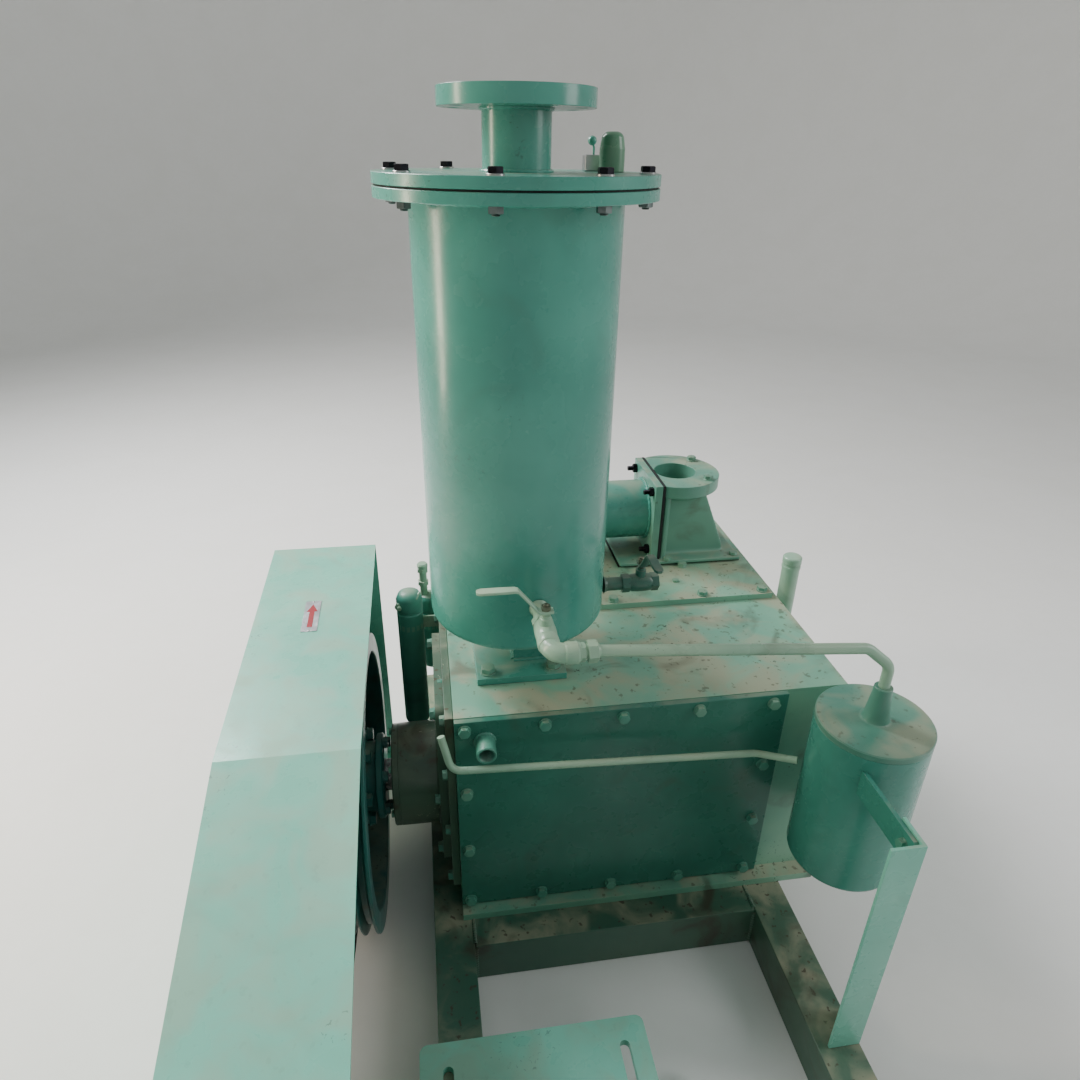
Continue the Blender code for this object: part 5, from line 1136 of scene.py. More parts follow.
@dataclass
class Tank:
    """The upright oil separator: stool, shell, bolted cover, outlet flange and what stands on it."""

    radius: float = 162 * MM
    wall: float = 8 * MM
    flange: float = 15.8 * MM
    bolt_circle: float = 192 * MM
    first_bolt: float = -105.0
    bolts: int = 8
    stub: float = 50.8 * MM
    stub_bore: float = 44.8 * MM
    outlet_thickness: float = 27 * MM
    outlet_height: float = 109 * MM
    outlet_bolt_circle: float = 95.25 * MM
    outlet_hole: float = 9.5 * MM
    outlet_radius: float = 114.5 * MM
    post_shift: float = 22 * MM
    post_half: float = 33 * MM
    vent_x: float = 131 * MM
    vent_y: float = 75 * MM

    def build(self) -> None:
        """Makes the tank from its stool up."""
        self.stool()
        self.shell()
        self.cover()
        self.cover_bolts()
        self.fittings()

    def stool(self) -> None:
        """Makes the foot plate, the post under the tank and the foot bolts."""
        low, high, middle = span("tank_stool")
        softened("tank_stool", TANK_PAINT, 1.5 * MM, rounds=3)
        plate = low.z + 14 * MM
        bolts = Form()
        inset = 22 * MM
        for x in (low.x + inset, high.x - inset):
            for y in (low.y + inset, high.y - inset):
                M16.bolt(bolts, facing((x, y, plate), Way.UP), bolts)
        show(bolts, "tank_stool_bolts", BOLT_PAINT)
        half = self.post_half
        post = self.axis()[0] + self.post_shift
        corners = [(-half, -half), (half, -half), (half, half), (-half, half), (-half, -half)]
        route = [Vector((post + a[0] + (b[0] - a[0]) * i / 16, middle.y + a[1] + (b[1] - a[1]) * i / 16,
                         plate + 1 * MM))
                 for a, b in zip(corners, corners[1:]) for i in range(16)]
        show(Form().sweep(route, 4 * MM, 10, 0.15), "tank_stool_weld", TANK_PAINT)

    def shell(self) -> None:
        """Makes the shell with its turned-in bottom edge, its flange and their weld."""
        low, high, _ = span("tank_shell")
        rim = (high.x - low.x) / 2
        inner = self.radius - self.wall
        knuckle = 16 * MM
        height = high.z - low.z
        profile = [(0, self.wall), (inner, self.wall), (inner, height), (rim - 0.8 * MM, height),
                   (rim, height - 0.8 * MM),
                   (rim, height - self.flange + 0.8 * MM), (rim - 0.8 * MM, height - self.flange),
                   (self.radius, height - self.flange), (self.radius, height - self.flange - 30 * MM),
                   (self.radius, knuckle + 20 * MM),
                   *arc((self.radius - knuckle, knuckle), knuckle, 0, -90, 8), (0, 0)]
        place = facing((*self.axis(), low.z), Way.UP)
        show(Form().turn(profile, place, 160), "tank_shell_rolled", TANK_PAINT, ("tank_shell",))
        bead = [(*around(self.axis(), self.radius + 0.5 * MM, 360 * i / 200),
                 high.z - self.flange - 1.5 * MM)
                for i in range(201)]
        show(Form().sweep(bead, 3.5 * MM, 10, 0.12), "tank_flange_weld", TANK_PAINT)

    def axis(self) -> tuple[float, float]:
        """The tank's centre as (X, Y)."""
        _, _, middle = span("tank_gasket")
        return middle.x, middle.y

    def cover(self) -> None:
        """Makes the cover disc, the outlet pipe and its drilled flange."""
        low, high, _ = span("tank_cover")
        x, y = self.axis()
        rim = (high.x - low.x) / 2
        top = high.z - self.outlet_height
        show(Form().turn([(rim - 3 * MM, 0), (rim - 3 * MM, 2.3 * MM), (self.radius - 7 * MM, 2.3 * MM),
                          (self.radius - 7 * MM, 0)], facing((x, y, low.z - 2.6 * MM), Way.UP), 160),
             "tank_gasket_ring", GASKET, ("tank_gasket",))
        disc = top - low.z
        profile = [(self.stub_bore, 0), (rim - 0.8 * MM, 0), (rim, 0.8 * MM), (rim, disc - 0.8 * MM),
                   (rim - 0.8 * MM, disc),
                   (self.stub_bore, disc)]
        show(Form().turn(profile, facing((x, y, low.z), Way.UP), 160), "tank_cover_disc", TANK_PAINT,
             ("tank_cover",))
        pipe = [(self.stub_bore, 0.2 * MM), (self.stub, 0.2 * MM),
                (self.stub, self.outlet_height - self.outlet_thickness - 0.2 * MM),
                (self.stub_bore, self.outlet_height - self.outlet_thickness - 0.2 * MM)]
        show(Form().turn(pipe, facing((x, y, top), Way.UP), 96), "tank_outlet_pipe", TANK_PAINT)
        welds = Form()
        for height in (top + 1 * MM, high.z - self.outlet_thickness - 1 * MM):
            bead = [(*around((x, y), self.stub + 0.5 * MM, 360 * i / 90), height) for i in range(91)]
            welds.sweep(bead, 3 * MM, 10, 0.15)
        show(welds, "tank_outlet_welds", TANK_PAINT)
        flange_low = high.z - self.outlet_thickness
        outline = arc((0, 0), self.outlet_radius, 0, 360 - 3, 119)
        holes = [arc((0, 0), self.stub_bore, 0, 360 - 5, 71)]
        holes += [arc(around((0, 0), self.outlet_bolt_circle, 45 * i + 22.5), self.outlet_hole, 0, 345,
                      23) for i in range(8)]
        place = facing((x, y, flange_low), Way.UP)
        flange = Form().slab(outline, 0, self.outlet_thickness - 1.6 * MM, place, holes)
        show(flange, "tank_outlet_flange", TANK_PAINT, edge=0.8 * MM)
        face = [(self.stub_bore, self.outlet_thickness - 1.7 * MM),
                (78 * MM, self.outlet_thickness - 1.7 * MM),
                (78 * MM, self.outlet_thickness), (self.stub_bore, self.outlet_thickness)]
        show(Form().turn(face, place, 96), "tank_outlet_raised_face", GROUND_STEEL)

    def cover_bolts(self) -> None:
        """Sets the black bolts with light washers, and the nuts under the shell's flange."""
        _, high, _ = span("tank_cover")
        _, shell_high, _ = span("tank_shell")
        top = high.z - self.outlet_height
        under = shell_high.z - self.flange
        heads, washers, nuts = Form(), Form(), Form()
        for i in range(self.bolts):
            x, y = around(self.axis(), self.bolt_circle, self.first_bolt + 360 / self.bolts * i)
            M12.bolt(heads, facing((x, y, top), Way.UP), washers)
            M12.stud(nuts, facing((x, y, under), Way.DOWN), 13 * MM)
        show(heads, "tank_cover_bolts", BLACK_BOLT)
        show(washers, "tank_cover_washers", ZINC)
        show(nuts, "tank_cover_nuts", NUT_STEEL)

    def fittings(self) -> None:
        """Makes the vent cock with its ball knob, and the relief cap over its seat."""
        _, high, _ = span("tank_cover")
        x, y = self.axis()
        top = high.z - self.outlet_height
        cock = Vector((x + self.vent_x, y + self.vent_y, top))
        body = Form().block((cock.x - 15.5 * MM, cock.y - 12.5 * MM, top + 0.2 * MM),
                            (cock.x + 15.5 * MM, cock.y + 12.5 * MM, top + 23.5 * MM))
        show(body, "vent_cock_body", ZINC, edge=1.5 * MM)
        stem = bent([cock + Vector((0, 0, 23 * MM)), cock + Vector((0, 0, 34 * MM)),
                     cock + Vector((-3 * MM, 0, 45 * MM))], 8 * MM, 6)
        knob = Form().sweep(stem, 1.8 * MM, 12)
        knob.turn([(0, -7 * MM), *arc((0, 0), 7 * MM, -78, 78, 12), (0, 7 * MM)],
                  facing(cock + Vector((-3 * MM, 0, 43 * MM)), Way.UP), 24)
        show(knob, "vent_cock_knob", TANK_PAINT)
        low, high, middle = span("relief_cap")
        radius, height = (high.x - low.x) / 2, high.z - low.z
        dome = 12 * MM
        profile = [(0, 0), (radius - 1 * MM, 0), (radius, 1 * MM), (radius, height - 24 * MM),
                   (radius - 0.6 * MM, height - 21 * MM),
                   (radius - 2 * MM, height - dome),
                   *arc((radius - 2 * MM - dome, height - dome), dome, 20, 90, 8), (0, height)]
        show(Form().turn(profile, facing((middle.x, middle.y, low.z), Way.UP), 64), "relief_cap_dome",
             FITTING_GREEN,
             ("relief_cap",), "relief_cap")


@dataclass
class Ports:
    """The port casting with its round suction flange, and the discharge pipe to the tank."""

    round_flange: float = 105 * MM
    flange_thickness: float = 30 * MM
    mouth: float = 49 * MM
    square: float = 189 * MM
    square_thickness: float = 17 * MM
    pipe_radius: float = 69.8 * MM
    tank_radius: float = 162 * MM
    bend: float = 95 * MM
    body_foot: float = 116 * MM
    body_neck: float = 56 * MM
    bolt_circle: float = 87.5 * MM
    voxel: float = 3 * MM

    def build(self) -> None:
        """Makes the gaskets, the casting, the pipe and every bolt."""
        softened("port_gasket", GASKET, 0.4 * MM)
        softened("flange_gasket", GASKET, 0.4 * MM)
        self.casting()
        self.pipe()
        self.bolts()

    def mouth_centre(self) -> tuple[float, float, float]:
        """The middle of the round flange's face."""
        _, high, middle = span("port_casting")
        _, gasket_high, _ = span("flange_gasket")
        return gasket_high.x + 0.3 * MM + 50 * MM, middle.y, high.z

    def casting(self) -> None:
        """Makes the sand-cast body with filleted corners, then bores its mouth."""
        low, high, _ = span("port_casting")
        x, y, top = self.mouth_centre()
        gasket_low, gasket_high, _ = span("flange_gasket")
        face = gasket_high.x + 0.3 * MM
        shoulder = top - self.flange_thickness
        skin = 1.5 * MM
        body = Form().block((low.x + skin, low.y + skin, low.z + 1 * MM),
                            (high.x - skin, high.y - skin, low.z + 11.5 * MM))
        body.block((face + skin, gasket_low.y + skin, low.z + 2 * MM),
                   (face + self.square_thickness - skin, gasket_high.y - skin, gasket_high.z - skin))
        right = x + self.body_foot
        outline = [(face + 3 * MM, low.z + 5 * MM), (right, low.z + 5 * MM), (right, low.z + 28 * MM),
                   (x + self.body_neck, shoulder + 4 * MM), (face + 3 * MM, shoulder + 4 * MM)]
        across = Matrix(((1, 0, 0, 0), (0, 0, 1, 0), (0, 1, 0, 0), (0, 0, 0, 1)))
        body.slab(outline, y - 66 * MM, y + 66 * MM, across)
        body.turn([(0, 0), (58 * MM, 0), (80 * MM, 9 * MM), (93 * MM, 22 * MM), (93 * MM, 30 * MM),
                   (0, 30 * MM)],
                  facing((x, y, shoulder - 22 * MM), Way.UP), 96)
        piece = body.plain("port_casting_body")
        remesh = piece.modifiers.new("fuse", "REMESH")
        remesh.mode = "VOXEL"
        remesh.voxel_size = self.voxel
        smooth = piece.modifiers.new("fillets", "SMOOTH")
        smooth.iterations = 6
        smooth.factor = 0.6
        settle(piece)
        bore = Form().turn([(0, -40 * MM), (self.mouth + 0.6 * MM, -40 * MM),
                            (self.mouth + 0.6 * MM, 60 * MM), (0, 60 * MM)],
                           facing((x, y, shoulder - 20 * MM), Way.UP), 96).plain("bore")
        cheek = Form().block((face - 0.2, y - 0.2, low.z + 12.5 * MM),
                             (face, y + 0.2, top + 0.05)).plain("cheek")
        for tool in (bore, cheek):
            cut = piece.modifiers.new("cut", "BOOLEAN")
            cut.operation = "DIFFERENCE"
            cut.object = tool
            settle(piece)
            bpy.data.objects.remove(tool, do_unlink=True)
        piece.data.shade_smooth()
        show(piece, "port_casting_body", CASTING_PAINT, ("port_casting",))
        self.suction_flange(x, y, top, face)

    def suction_flange(self, x: float, y: float, top: float, face: float) -> None:
        """Makes the round machined flange, cut flat where it meets the square one."""
        spread = math.degrees(math.acos((face - x) / self.round_flange))
        outline = arc((0, 0), self.round_flange, -spread, spread, 110)
        hole = [arc((0, 0), self.mouth, 0, 355, 71)]
        thickness = self.flange_thickness
        place = facing((x, y, top - thickness), Way.UP)
        turn = Matrix.Translation((x, y, top - thickness))
        flange = Form().slab(outline, 0, thickness - 1 * MM, turn, hole)
        show(flange, "suction_flange", CASTING_PAINT, edge=1.6 * MM, rounds=3)
        rough = [(self.mouth, 0.5 * MM), (self.mouth + 2 * MM, 0.5 * MM), (self.mouth + 2 * MM, -34 * MM),
                 (self.mouth, -34 * MM)]
        show(Form().turn(rough, place, 96), "suction_throat", CASTING_PAINT)

    def pipe(self) -> None:
        """Makes the discharge pipe's swept bends, its square flange and their welds."""
        gasket_low, _, square = span("flange_gasket")
        _, _, tank = span("tank_gasket")
        _, high, _ = span("discharge_pipe")
        right = gasket_low.x - 0.3 * MM
        rise = high.z - self.pipe_radius
        corners = [(right - 1 * MM, square.y, square.z), (tank.x, square.y, square.z),
                   (tank.x, square.y, rise),
                   (tank.x, tank.y + 155 * MM, rise)]
        show(Form().sweep(bent(corners, self.bend, 24), self.pipe_radius - 0.2 * MM, 72),
             "discharge_pipe_bends", TANK_PAINT,
             ("discharge_pipe",))
        place = SECTION_ALONG_X
        half = self.square / 2
        outline = [(square.y - half, square.z - half), (square.y + half, square.z - half),
                   (square.y + half, square.z + half), (square.y - half, square.z + half)]
        flange = Form().slab(outline, right - self.square_thickness, right, place)
        show(flange, "discharge_pipe_flange", CASTING_PAINT, edge=1.5 * MM)
        welds = Form()
        for centre, way in (((right - self.square_thickness - 1.5 * MM, square.y, square.z), Way.LEFT),
                            ((tank.x, tank.y + self.tank_radius - 2 * MM, rise), Way.BACK)):
            frame_here = facing(centre, way)
            ring = []
            for i in range(121):
                across, up = around((0, 0), self.pipe_radius + 1 * MM, 3 * i)
                spot = frame_here @ Vector((across, up, 0))
                if way is Way.BACK:
                    chord = self.tank_radius**2 - (spot.x - tank.x) ** 2
                    spot.y = tank.y + math.sqrt(max(chord, 0)) + 1 * MM
                ring.append(spot)
            welds.sweep(ring, 4 * MM, 10, 0.15)
        show(welds, "discharge_pipe_welds", TANK_PAINT)

    def bolts(self) -> None:
        """Sets the bolts of the round flange, the base and the square flanges."""
        x, y, top = self.mouth_centre()
        gasket_low, gasket_high, square = span("flange_gasket")
        low, high, _ = span("port_casting")
        form = Form()
        for angle in (-45, 45):
            M12.bolt(form, facing((*around((x, y), self.bolt_circle, angle), top - 1 * MM), Way.UP), form)
        base = low.z + 12 * MM
        inset = 15 * MM
        for spot in ((high.x - inset, low.y + inset), (high.x - inset, high.y - inset),
                     (low.x + 120 * MM, low.y + 8.5 * MM),
                     (low.x + 120 * MM, high.y - 8.5 * MM)):
            M10.bolt(form, facing((*spot, base), Way.UP))
        show(form, "port_casting_bolts", BOLT_PAINT)
        studs = Form()
        left = gasket_low.x - 0.3 * MM - self.square_thickness
        right = gasket_high.x + 0.3 * MM + self.square_thickness
        reach = self.square / 2 - 20 * MM
        for side in (-1, 1):
            for rise in (-1, 1):
                spot = (square.y + side * reach, square.z + rise * reach)
                M12.stud(studs, facing((left, *spot), Way.LEFT), 24 * MM)
                if rise > 0 or side < 0:
                    continue
                M12.stud(studs, facing((right, *spot), Way.RIGHT), 16 * MM)
        show(studs, "discharge_flange_studs", BLACK_BOLT)


@dataclass
class Valve:
    """A ball valve on a nipple, with a cranked lever on its stem."""

    name: str
    lever_body: str
    start: tuple[float, float, float]
    way: Way
    lever_way: Way
    finish: MachineEnamel
    out: float = 73 * MM
    stem: float = 38 * MM
    length: float = 110 * MM
    elbow: bool = False
    crank: float = 42 * MM
    corner: float = 133 * MM

    def point(self, along: float, up: float = 0.0) -> Vector:
        """A point this far out along the valve and above it."""
        return Vector(self.start) + Vector(self.way.value) * along + Vector((0, 0, up))

    def build(self) -> None:
        """Makes the valve body and the lever."""
        place = facing(self.start, self.way)
        body = Form()
        nipple = 12.8 * MM
        out = self.out
        profile = [(0, 0.5 * MM), (nipple + 4 * MM, 0.5 * MM), (nipple + 1 * MM, 5 * MM), (nipple, 8 * MM),
                   (nipple, out - 37 * MM),
                   (15 * MM, out - 36 * MM), (15 * MM, out - 22 * MM), (17 * MM, out - 18 * MM),
                   (17.8 * MM, out - 8 * MM),
                   (17.8 * MM, out + 8 * MM), (17 * MM, out + 18 * MM), (15 * MM, out + 22 * MM),
                   (0, out + 22 * MM)]
        body.turn(profile, place, 64)
        body.hexagon(31 * MM, out - 37 * MM, out - 22 * MM, place, bevel=False)
        body.hexagon(31 * MM, out + 20 * MM, out + 34 * MM, place, bevel=False)
        neck = facing(self.point(out), Way.UP)
        body.turn([(0, 10 * MM), (10 * MM, 10 * MM), (10 * MM, 28 * MM), (8 * MM, 29 * MM),
                   (8 * MM, 33 * MM), (5 * MM, 34 * MM),
                   (5 * MM, self.stem - 0.6 * MM), (0, self.stem - 0.6 * MM)], neck, 40)
        if self.elbow:
            self.add_elbow(body)
        show(body, self.name + "_brass", self.finish, (self.name,), edge=0.5 * MM)
        self.lever()

    def add_elbow(self, body: Form) -> None:
        """Adds the bend, its socket bands and the union nuts to the right."""
        corner = self.point(self.corner)
        end = corner + Vector((45 * MM, 0, 0))
        body.sweep(bent([self.point(self.out + 30 * MM), corner, end], 24 * MM, 16), 16 * MM, 48)
        band = facing(corner, Way.RIGHT)
        body.turn([(0, 20 * MM), (16.5 * MM, 20 * MM), (18 * MM, 23 * MM), (18 * MM, 40 * MM),
                   (16.5 * MM, 42 * MM), (0, 42 * MM)], band, 56)
        near = facing(self.point(self.corner), (0, 1, 0))
        body.turn([(0, 20 * MM), (16.5 * MM, 20 * MM), (18 * MM, 23 * MM), (18 * MM, 36 * MM),
                   (16.5 * MM, 38 * MM), (0, 38 * MM)], near, 56)
        body.hexagon(27 * MM, 43 * MM, 53 * MM, band)
        body.turn([(0, 53 * MM), (12 * MM, 53 * MM), (12 * MM, 56 * MM), (0, 56 * MM)], band, 40)
        body.hexagon(32 * MM, 56 * MM, 72 * MM, band)
        body.turn([(0, 72 * MM), (12 * MM, 72 * MM), (10.5 * MM, 76 * MM), (0, 76 * MM)], band, 40)

    def lever(self) -> None:
        """Makes the flat cranked lever with its round end, and the stem nut."""
        half, rise, thick = 8.4 * MM, self.crank, 5 * MM
        top = self.point(self.out, self.stem)
        heading = Vector(self.lever_way.value)
        side = Vector((0, 0, 1)).cross(heading)
        turn = Matrix((heading, side, Vector((0, 0, 1)))).transposed().to_4x4()
        place = Matrix.Translation(top) @ turn
        run = [(-12 * MM, 0, 0.85), (0, 0, 1.0), (8 * MM, 0, 1.0), (12.5 * MM, 1.5 * MM, 0.95),
               (44 * MM, rise - 1.5 * MM, 0.85), (49 * MM, rise, 0.90), (66 * MM, rise, 1.0),
               (self.length - 9 * MM, rise, 1.0), (self.length - 4 * MM, rise, 0.82),
               (self.length - 1 * MM, rise, 0.5)]
        form = Form()
        rings = []
        for x, z, width in run:
            w = half * width
            loop = [(-w, 0.6 * MM), (-w + 0.8 * MM, 0), (w - 0.8 * MM, 0), (w, 0.6 * MM),
                    (w, thick - 0.6 * MM),
                    (w - 0.8 * MM, thick), (-w + 0.8 * MM, thick), (-w, thick - 0.6 * MM)]
            rings.append([form.mesh.verts.new(place @ Vector((x, y, z + up))) for y, up in loop])
        first = form.mesh.verts.new(place @ Vector((run[0][0], 0, thick / 2)))
        last = form.mesh.verts.new(place @ Vector((run[-1][0], 0, rise + thick / 2)))
        form.skin([[first], *rings, [last]], closed=False)
        lever_name = self.name + "_lever"
        show(form, lever_name + "_handle", self.finish, (lever_name,), self.lever_body, edge=0.4 * MM)
        nut = Form()
        nut.hexagon(14 * MM, thick + 0.1 * MM, thick + 8 * MM, facing(top, Way.UP))
        show(nut, lever_name + "_nut", WORN_BRASS, body=self.lever_body)
        stem = Form()
        stem.turn([(0, thick), (4 * MM, thick), (4 * MM, thick + 10 * MM), (3.2 * MM, thick + 11 * MM),
                   (0, thick + 11 * MM)],
                  facing(top, Way.UP), 24)
        show(stem, lever_name + "_stem", WORN_BRASS, body=self.lever_body)


@dataclass
class OilCircuit:
    """Both ball valves, the tubes, the canister filter on its post, and the breather."""

    tube: float = 9.5 * MM
    supply: float = 6.8 * MM
    canister: float = 99 * MM
    nozzle: float = 15 * MM
    nozzle_height: float = 70 * MM
    pivot_drop: float = 40.5 * MM
    pivot_reach: float = 73 * MM

    def build(self) -> None:
        """Makes every piece of the circuit."""
        joints = {joint["name"]: joint["pos_m"] for joint in frame["joints"] if joint["type"] == "hinge"}
        turn = joints["front_valve_turn"]
        drop = self.pivot_drop
        Valve("front_valve", "front_lever", (turn[0], turn[1] + self.pivot_reach, turn[2] - drop), Way.FRONT,
              Way.LEFT, FITTING_PAINT,
              elbow=True).build()
        turn = joints["drain_valve_turn"]
        Valve("drain_valve", "drain_lever", (turn[0] - self.pivot_reach, turn[1], turn[2] - drop), Way.RIGHT,
              Way.FRONT, VALVE_DARK).build()
        self.tubes(joints["front_valve_turn"], drop)
        self.filter()
        self.breather()

    def tubes(self, pivot: Place, drop: float) -> None:
        """Makes the return tube to the filter and the supply tube along the front cover."""
        _, _, canister = span("filter_lid")
        low, _, _ = span("return_tube")
        y = pivot[1] - 60 * MM
        z = pivot[2] - drop
        corners = [(low.x, y, z), (canister.x - 40 * MM, y, z - 38 * MM),
                   (canister.x, canister.y, z - 70 * MM),
                   (canister.x, canister.y, low.z)]
        show(Form().sweep(bent(corners, 26 * MM), self.tube, 32), "return_tube_bent", FITTING_PAINT,
             ("return_tube",))
        _, casing_high, _ = span("pump_casing")
        cover, _, _ = span("front_cover")
        front = cover.y + 5 * MM
        left = cover.x - 20 * MM
        top = casing_high.z
        reach = math.sqrt(self.canister**2 - (40 * MM) ** 2)
        corners = [(left - 4 * MM, front + 20 * MM, top - 14 * MM), (left + 12 * MM, front, top - 77 * MM),
                   (cover.x + 560 * MM, front, top - 106 * MM),
                   (canister.x - reach - 12 * MM, canister.y + 40 * MM, top - 90 * MM)]
        show(Form().sweep(bent(corners, 24 * MM), self.supply, 28), "supply_tube_bent", FITTING_PAINT,
             ("supply_tube",))

    def filter(self) -> None:
        """Makes the canister, its lid with the conical nozzle, the post, the lug and its bolt."""
        low, high, _ = span("filter_body")
        lid_low, lid_high, axis = span("filter_lid")
        radius = (lid_high.x - lid_low.x) / 2
        height = high.z - low.z
        base = facing((axis.x, axis.y, low.z), Way.UP)
        knuckle = 14 * MM
        body = [(0, 4 * MM), (radius - 4 * MM, 4 * MM), (radius - 4 * MM, height),
                (radius - 0.5 * MM, height),
                (radius, height - 0.5 * MM), (radius, height - 8 * MM),
                (radius - 0.3 * MM, knuckle + 12 * MM),
                *arc((radius - knuckle, knuckle), knuckle, 0, -90, 8), (0, 0)]
        show(Form().turn(body, base, 128), "filter_canister", TANK_PAINT, ("filter_body",))
        post_low, post_high, _ = span("filter_post")
        # The post wears the lightened enamel: a painted highlight.
        softened("filter_post", LIT_LIGHTENED_ENAMEL, 1.2 * MM)
        wall_x = post_high.x - 6.3 * MM
        lug = Form()
        lug_top = post_high.z - 4 * MM
        outline = [(post_low.y + 6.5 * MM, lug_top - 50 * MM),
                   (axis.y - radius + 20 * MM, lug_top - 50 * MM),
                   (axis.y - radius + 20 * MM, lug_top), (post_low.y + 14 * MM, lug_top),
                   (post_low.y + 6.5 * MM, lug_top - 8 * MM)]
        place = SECTION_ALONG_X
        lug.slab(outline, wall_x - 8 * MM, wall_x, place)
        show(lug, "filter_lug", TANK_PAINT, edge=0.8 * MM)
        bolts = Form()
        y, z = post_low.y + 30 * MM, lug_top - 22 * MM
        M10.bolt(bolts, facing((wall_x - 8 * MM, y, z), Way.LEFT), bolts)
        M10.stud(bolts, facing((post_high.x, y, z), Way.RIGHT), 14 * MM)
        show(bolts, "filter_lug_bolt", BOLT_PAINT)
        thick = lid_high.z - lid_low.z - self.nozzle_height
        cone = self.nozzle
        lid = [(0, 0), (radius - 0.5 * MM, 0), (radius, 0.5 * MM), (radius, thick - 2 * MM),
               (radius - 2 * MM, thick),
               (cone + 14 * MM, thick + 1.0 * MM), (cone + 9 * MM, thick + 4 * MM),
               (cone + 6 * MM, thick + 12 * MM),
               (cone + 1 * MM, thick + self.nozzle_height - 14 * MM),
               (cone + 0.5 * MM, thick + self.nozzle_height - 1 * MM),
               (cone - 0.5 * MM, thick + self.nozzle_height), (0, thick + self.nozzle_height)]
        show(Form().turn(lid, facing((axis.x, axis.y, lid_low.z), Way.UP), 128), "filter_lid_turned",
             CASTING_PAINT, ("filter_lid",))

    def breather(self) -> None:
        """Makes the breather's bent pipe with its collar, and the cap that lifts off."""
        low, high, _ = span("breather_pipe")
        cap_low, cap_high, cap = span("breather_cap")
        radius = (cap_high.x - cap_low.x) / 2 - 1 * MM
        foot = low.z + radius
        form = Form().sweep(bent([(cap.x, cap.y, high.z), (cap.x, cap.y, foot), (low.x, cap.y, foot)],
                                 24 * MM), radius - 0.3 * MM, 48)
        show(form, "breather_pipe_bent", FITTING_PAINT, ("breather_pipe",))
        collar = Form().turn([(radius - 1 * MM, 0), (radius + 0.8 * MM, 1 * MM), (radius + 0.8 * MM, 6 * MM),
                              (radius - 1 * MM, 7 * MM)],
                             facing((cap.x, cap.y, high.z - 9 * MM), Way.UP), 56)
        show(collar, "breather_collar", FITTING_PAINT)
        tall = cap_high.z - cap_low.z
        profile = [(0, 0), (radius - 1 * MM, 0), (radius - 1 * MM, 3 * MM), (radius + 1 * MM, 4.5 * MM),
                   (radius + 1 * MM, tall - 6 * MM),
                   *arc((radius - 4 * MM, tall - 5 * MM), 5 * MM, 0, 90, 6), (0, tall)]
        show(Form().turn(profile, facing((cap.x, cap.y, cap_low.z), Way.UP), 64), "breather_cap_turned",
             FITTING_PAINT,
             ("breather_cap",), "breather_cap")


@dataclass
class Bottles:
    """The two gas ballast bottles on the casing's left end."""

    def build(self) -> None:
        """Makes both bottles with their clamps, arms and fittings."""
        for node in ("ballast_silencer", "ballast_filter"):
            self.bottle(node)

    def bottle(self, node: str) -> None:
        """Makes one bottle with a domed cap, a clamp band, its arm and its fitting."""
        low, high, _ = span(node)
        radius = 29 * MM if node == "ballast_silencer" else 26.1 * MM
        top = high.z - (24 * MM if node == "ballast_silencer" else 96 * MM)
        x, y = low.x + radius, (low.y + high.y) / 2
        length = top - low.z
        crown = 12 * MM if node == "ballast_silencer" else 10 * MM
        profile = [(0, 0), (0.55 * radius, 0), *arc((radius - 12 * MM, 12 * MM), 12 * MM, -60, 0, 6),
                   (radius, length - 34 * MM), (radius - 1.5 * MM, length - 32 * MM),
                   (radius - 1.5 * MM, length - 28 * MM),
                   (radius, length - 26 * MM), (radius, length), (radius - 3 * MM, length + crown * 0.6),
                   (radius * 0.78, length + crown * 1.1), (radius * 0.5, length + crown * 1.5),
                   (0, length + crown * 1.65)]
        show(Form().turn(profile, facing((x, y, low.z), Way.UP), 80), node + "_bottle", MOTOR_PAINT, (node,))
        band = Form().turn([(radius - 0.5 * MM, 0), (radius, 0), (radius, 14 * MM),
                            (radius - 0.5 * MM, 14 * MM)],
                           facing((x, y, top - 74 * MM), Way.UP), 64)
        show(band, node + "_clamp", FITTING_PAINT)
        arm = Form().block((x + radius - 4 * MM, y - 2.8 * MM, top - 79.5 * MM),
                           (high.x, y + 2.8 * MM, top - 50.5 * MM))
        show(arm, node + "_arm", FITTING_PAINT, edge=0.8 * MM)
        fitting = Form()
        if node == "ballast_silencer":
            place = facing((x - radius + 7 * MM, y - 12 * MM, top - 12 * MM), Way.FRONT)
            fitting.hexagon(17 * MM, 0, 9 * MM, place)
            fitting.turn([(0, 9 * MM), (5 * MM, 9 * MM), (5 * MM, 15 * MM), (4 * MM, 16 * MM), (0, 16 * MM)],
                         place, 24)
            route = bent([(x - 6 * MM, y - 20 * MM, top - 14 * MM), (x - 4 * MM, y - 26 * MM, top - 2 * MM),
                          (x + 16 * MM, y - 18 * MM, top + 6 * MM),
                          (x + 24 * MM, y - 4 * MM, top + 14 * MM)], 6 * MM, 6)
            fitting.sweep(route, 3 * MM, 12)
        else:
            place = facing((x - 12 * MM, y, top), Way.UP)
            fitting.turn([(0, 4 * MM), (9 * MM, 4 * MM), (9 * MM, 74 * MM), (0, 74 * MM)], place, 32)
            fitting.hexagon(23 * MM, 74 * MM, 84 * MM, place)
            fitting.turn([(0, 84 * MM), (12 * MM, 84 * MM), (12.5 * MM, 92 * MM), (10 * MM, 95.5 * MM),
                          (0, 96 * MM)], place, 32)
            fitting.hexagon(23 * MM, 40 * MM, 50 * MM, place)
        show(fitting, node + "_fitting", FITTING_PAINT)


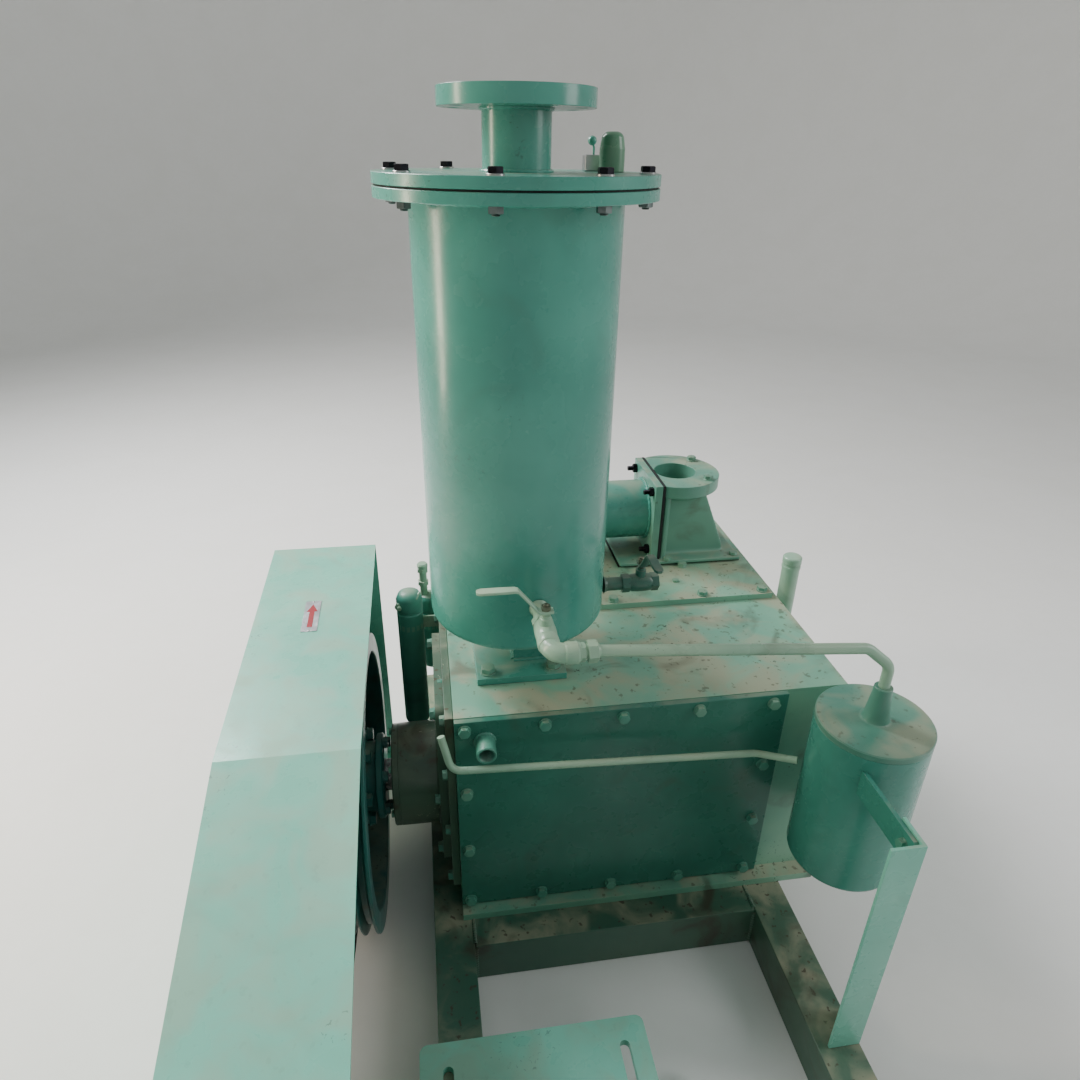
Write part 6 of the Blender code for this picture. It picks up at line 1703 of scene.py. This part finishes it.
# ---- Studio -----------------------------------------------------------------------------
@dataclass(frozen=True)
class Softbox:
    """A rectangular studio light that faces a point."""

    name: str
    spot: tuple[float, float, float]
    aim: tuple[float, float, float]
    width: float
    height: float
    power: float
    colour: str = "FFFFFF"

    def build(self) -> None:
        """Hangs the light."""
        data = bpy.data.lights.new(self.name, "AREA")
        data.shape = "RECTANGLE"
        data.size = self.width
        data.size_y = self.height
        data.energy = self.power
        data.color = linear(self.colour)[:3]
        light = bpy.data.objects.new(self.name, data)
        light.matrix_world = facing(self.spot, Vector(self.spot) - Vector(self.aim))
        bpy.context.scene.collection.objects.link(light)


@dataclass
class Studio:
    """The pale floor, the soft lights, the sky fill and the camera."""

    floor_radius: float = 9.0
    floor_bend: float = 2.5
    floor_height: float = 5.0
    floor_drop: float = 0.5 * MM
    lens: float = 25.34
    sensor: float = 36.0
    eye: tuple[float, float, float] = (-0.3269, -1.0073, 1.4968)
    yaw: float = -0.157
    pitch: float = 0.475
    roll: float = 0.015
    sky: float = 0.42

    def build(self) -> None:
        """Sets everything up."""
        edge, bend = self.floor_radius, self.floor_bend
        curve = arc((edge - bend, bend - self.floor_drop), bend, -90, 0, 16)
        profile = [(0, -self.floor_drop), *curve, (edge, self.floor_height)]
        floor = Form().turn(profile, facing((0, 0, 0), Way.UP), 128).plain("studio_floor")
        floor.data.shade_smooth()
        floor.data.materials.append(STUDIO_FLOOR.material())
        world = bpy.data.worlds.new("studio_sky")
        world.use_nodes = True
        background = world.node_tree.nodes["Background"]
        background.inputs["Color"].default_value = linear("F4F7F6")
        background.inputs["Strength"].default_value = self.sky
        bpy.context.scene.world = world
        for box in (
            Softbox("window_behind_left", (-2.4, 2.2, 3.4), (-0.1, 0.1, 0.6), 1.8, 1.8, 230),
            Softbox("strip_left", (-2.6, 0.5, 1.5), (-0.2, 0.2, 1.0), 0.35, 2.2, 45, "FFEBCF"),
            Softbox("soft_right", (2.8, -0.6, 2.4), (0.0, 0.1, 0.7), 1.2, 1.8, 35),
        ):
            box.build()
        self.camera()

    def camera(self) -> None:
        """Stands the camera at the motor's end, looking down on the pump."""
        ahead = Vector((-math.sin(self.yaw) * math.cos(self.pitch),
                        math.cos(self.yaw) * math.cos(self.pitch),
                        -math.sin(self.pitch)))
        right = Vector((math.cos(self.yaw), math.sin(self.yaw), 0))
        up = right.cross(ahead)
        across = right * math.cos(self.roll) + up * math.sin(self.roll)
        over = up * math.cos(self.roll) - right * math.sin(self.roll)
        data = bpy.data.cameras.new("camera")
        data.sensor_width = self.sensor
        data.lens = self.lens
        camera = bpy.data.objects.new("camera", data)
        turn = Matrix((across, over, -ahead)).transposed().to_4x4()
        camera.matrix_world = Matrix.Translation(self.eye) @ turn
        bpy.context.scene.collection.objects.link(camera)
        bpy.context.scene.camera = camera


def dress_frame() -> None:
    """Gives each CAD node that still shows the finish of its material slot."""
    for part in frame["record"]["subparts"]:
        node = frame["nodes"][part["node"]]
        finish = SLOT_FINISHES[part["material_slot"]]
        node.data.materials.clear()
        node.data.materials.append(finish.material())
        node.data.polygons.foreach_set("material_index", [0] * len(node.data.polygons))


def main() -> None:
    """Builds the studio and every sub-assembly in order."""
    logging.basicConfig(level=logging.INFO, format="%(name)s: %(message)s")
    dress_frame()
    for assembly in (Studio(), Skid(), Casing(), DriveEnd(), BeltDrive(), Guard(), Motor(), Tank(), Ports(),
                     OilCircuit(),
                     Bottles()):
        assembly.build()
        LOG.info("built %s", type(assembly).__name__)


if __name__ == "__main__":
    main()
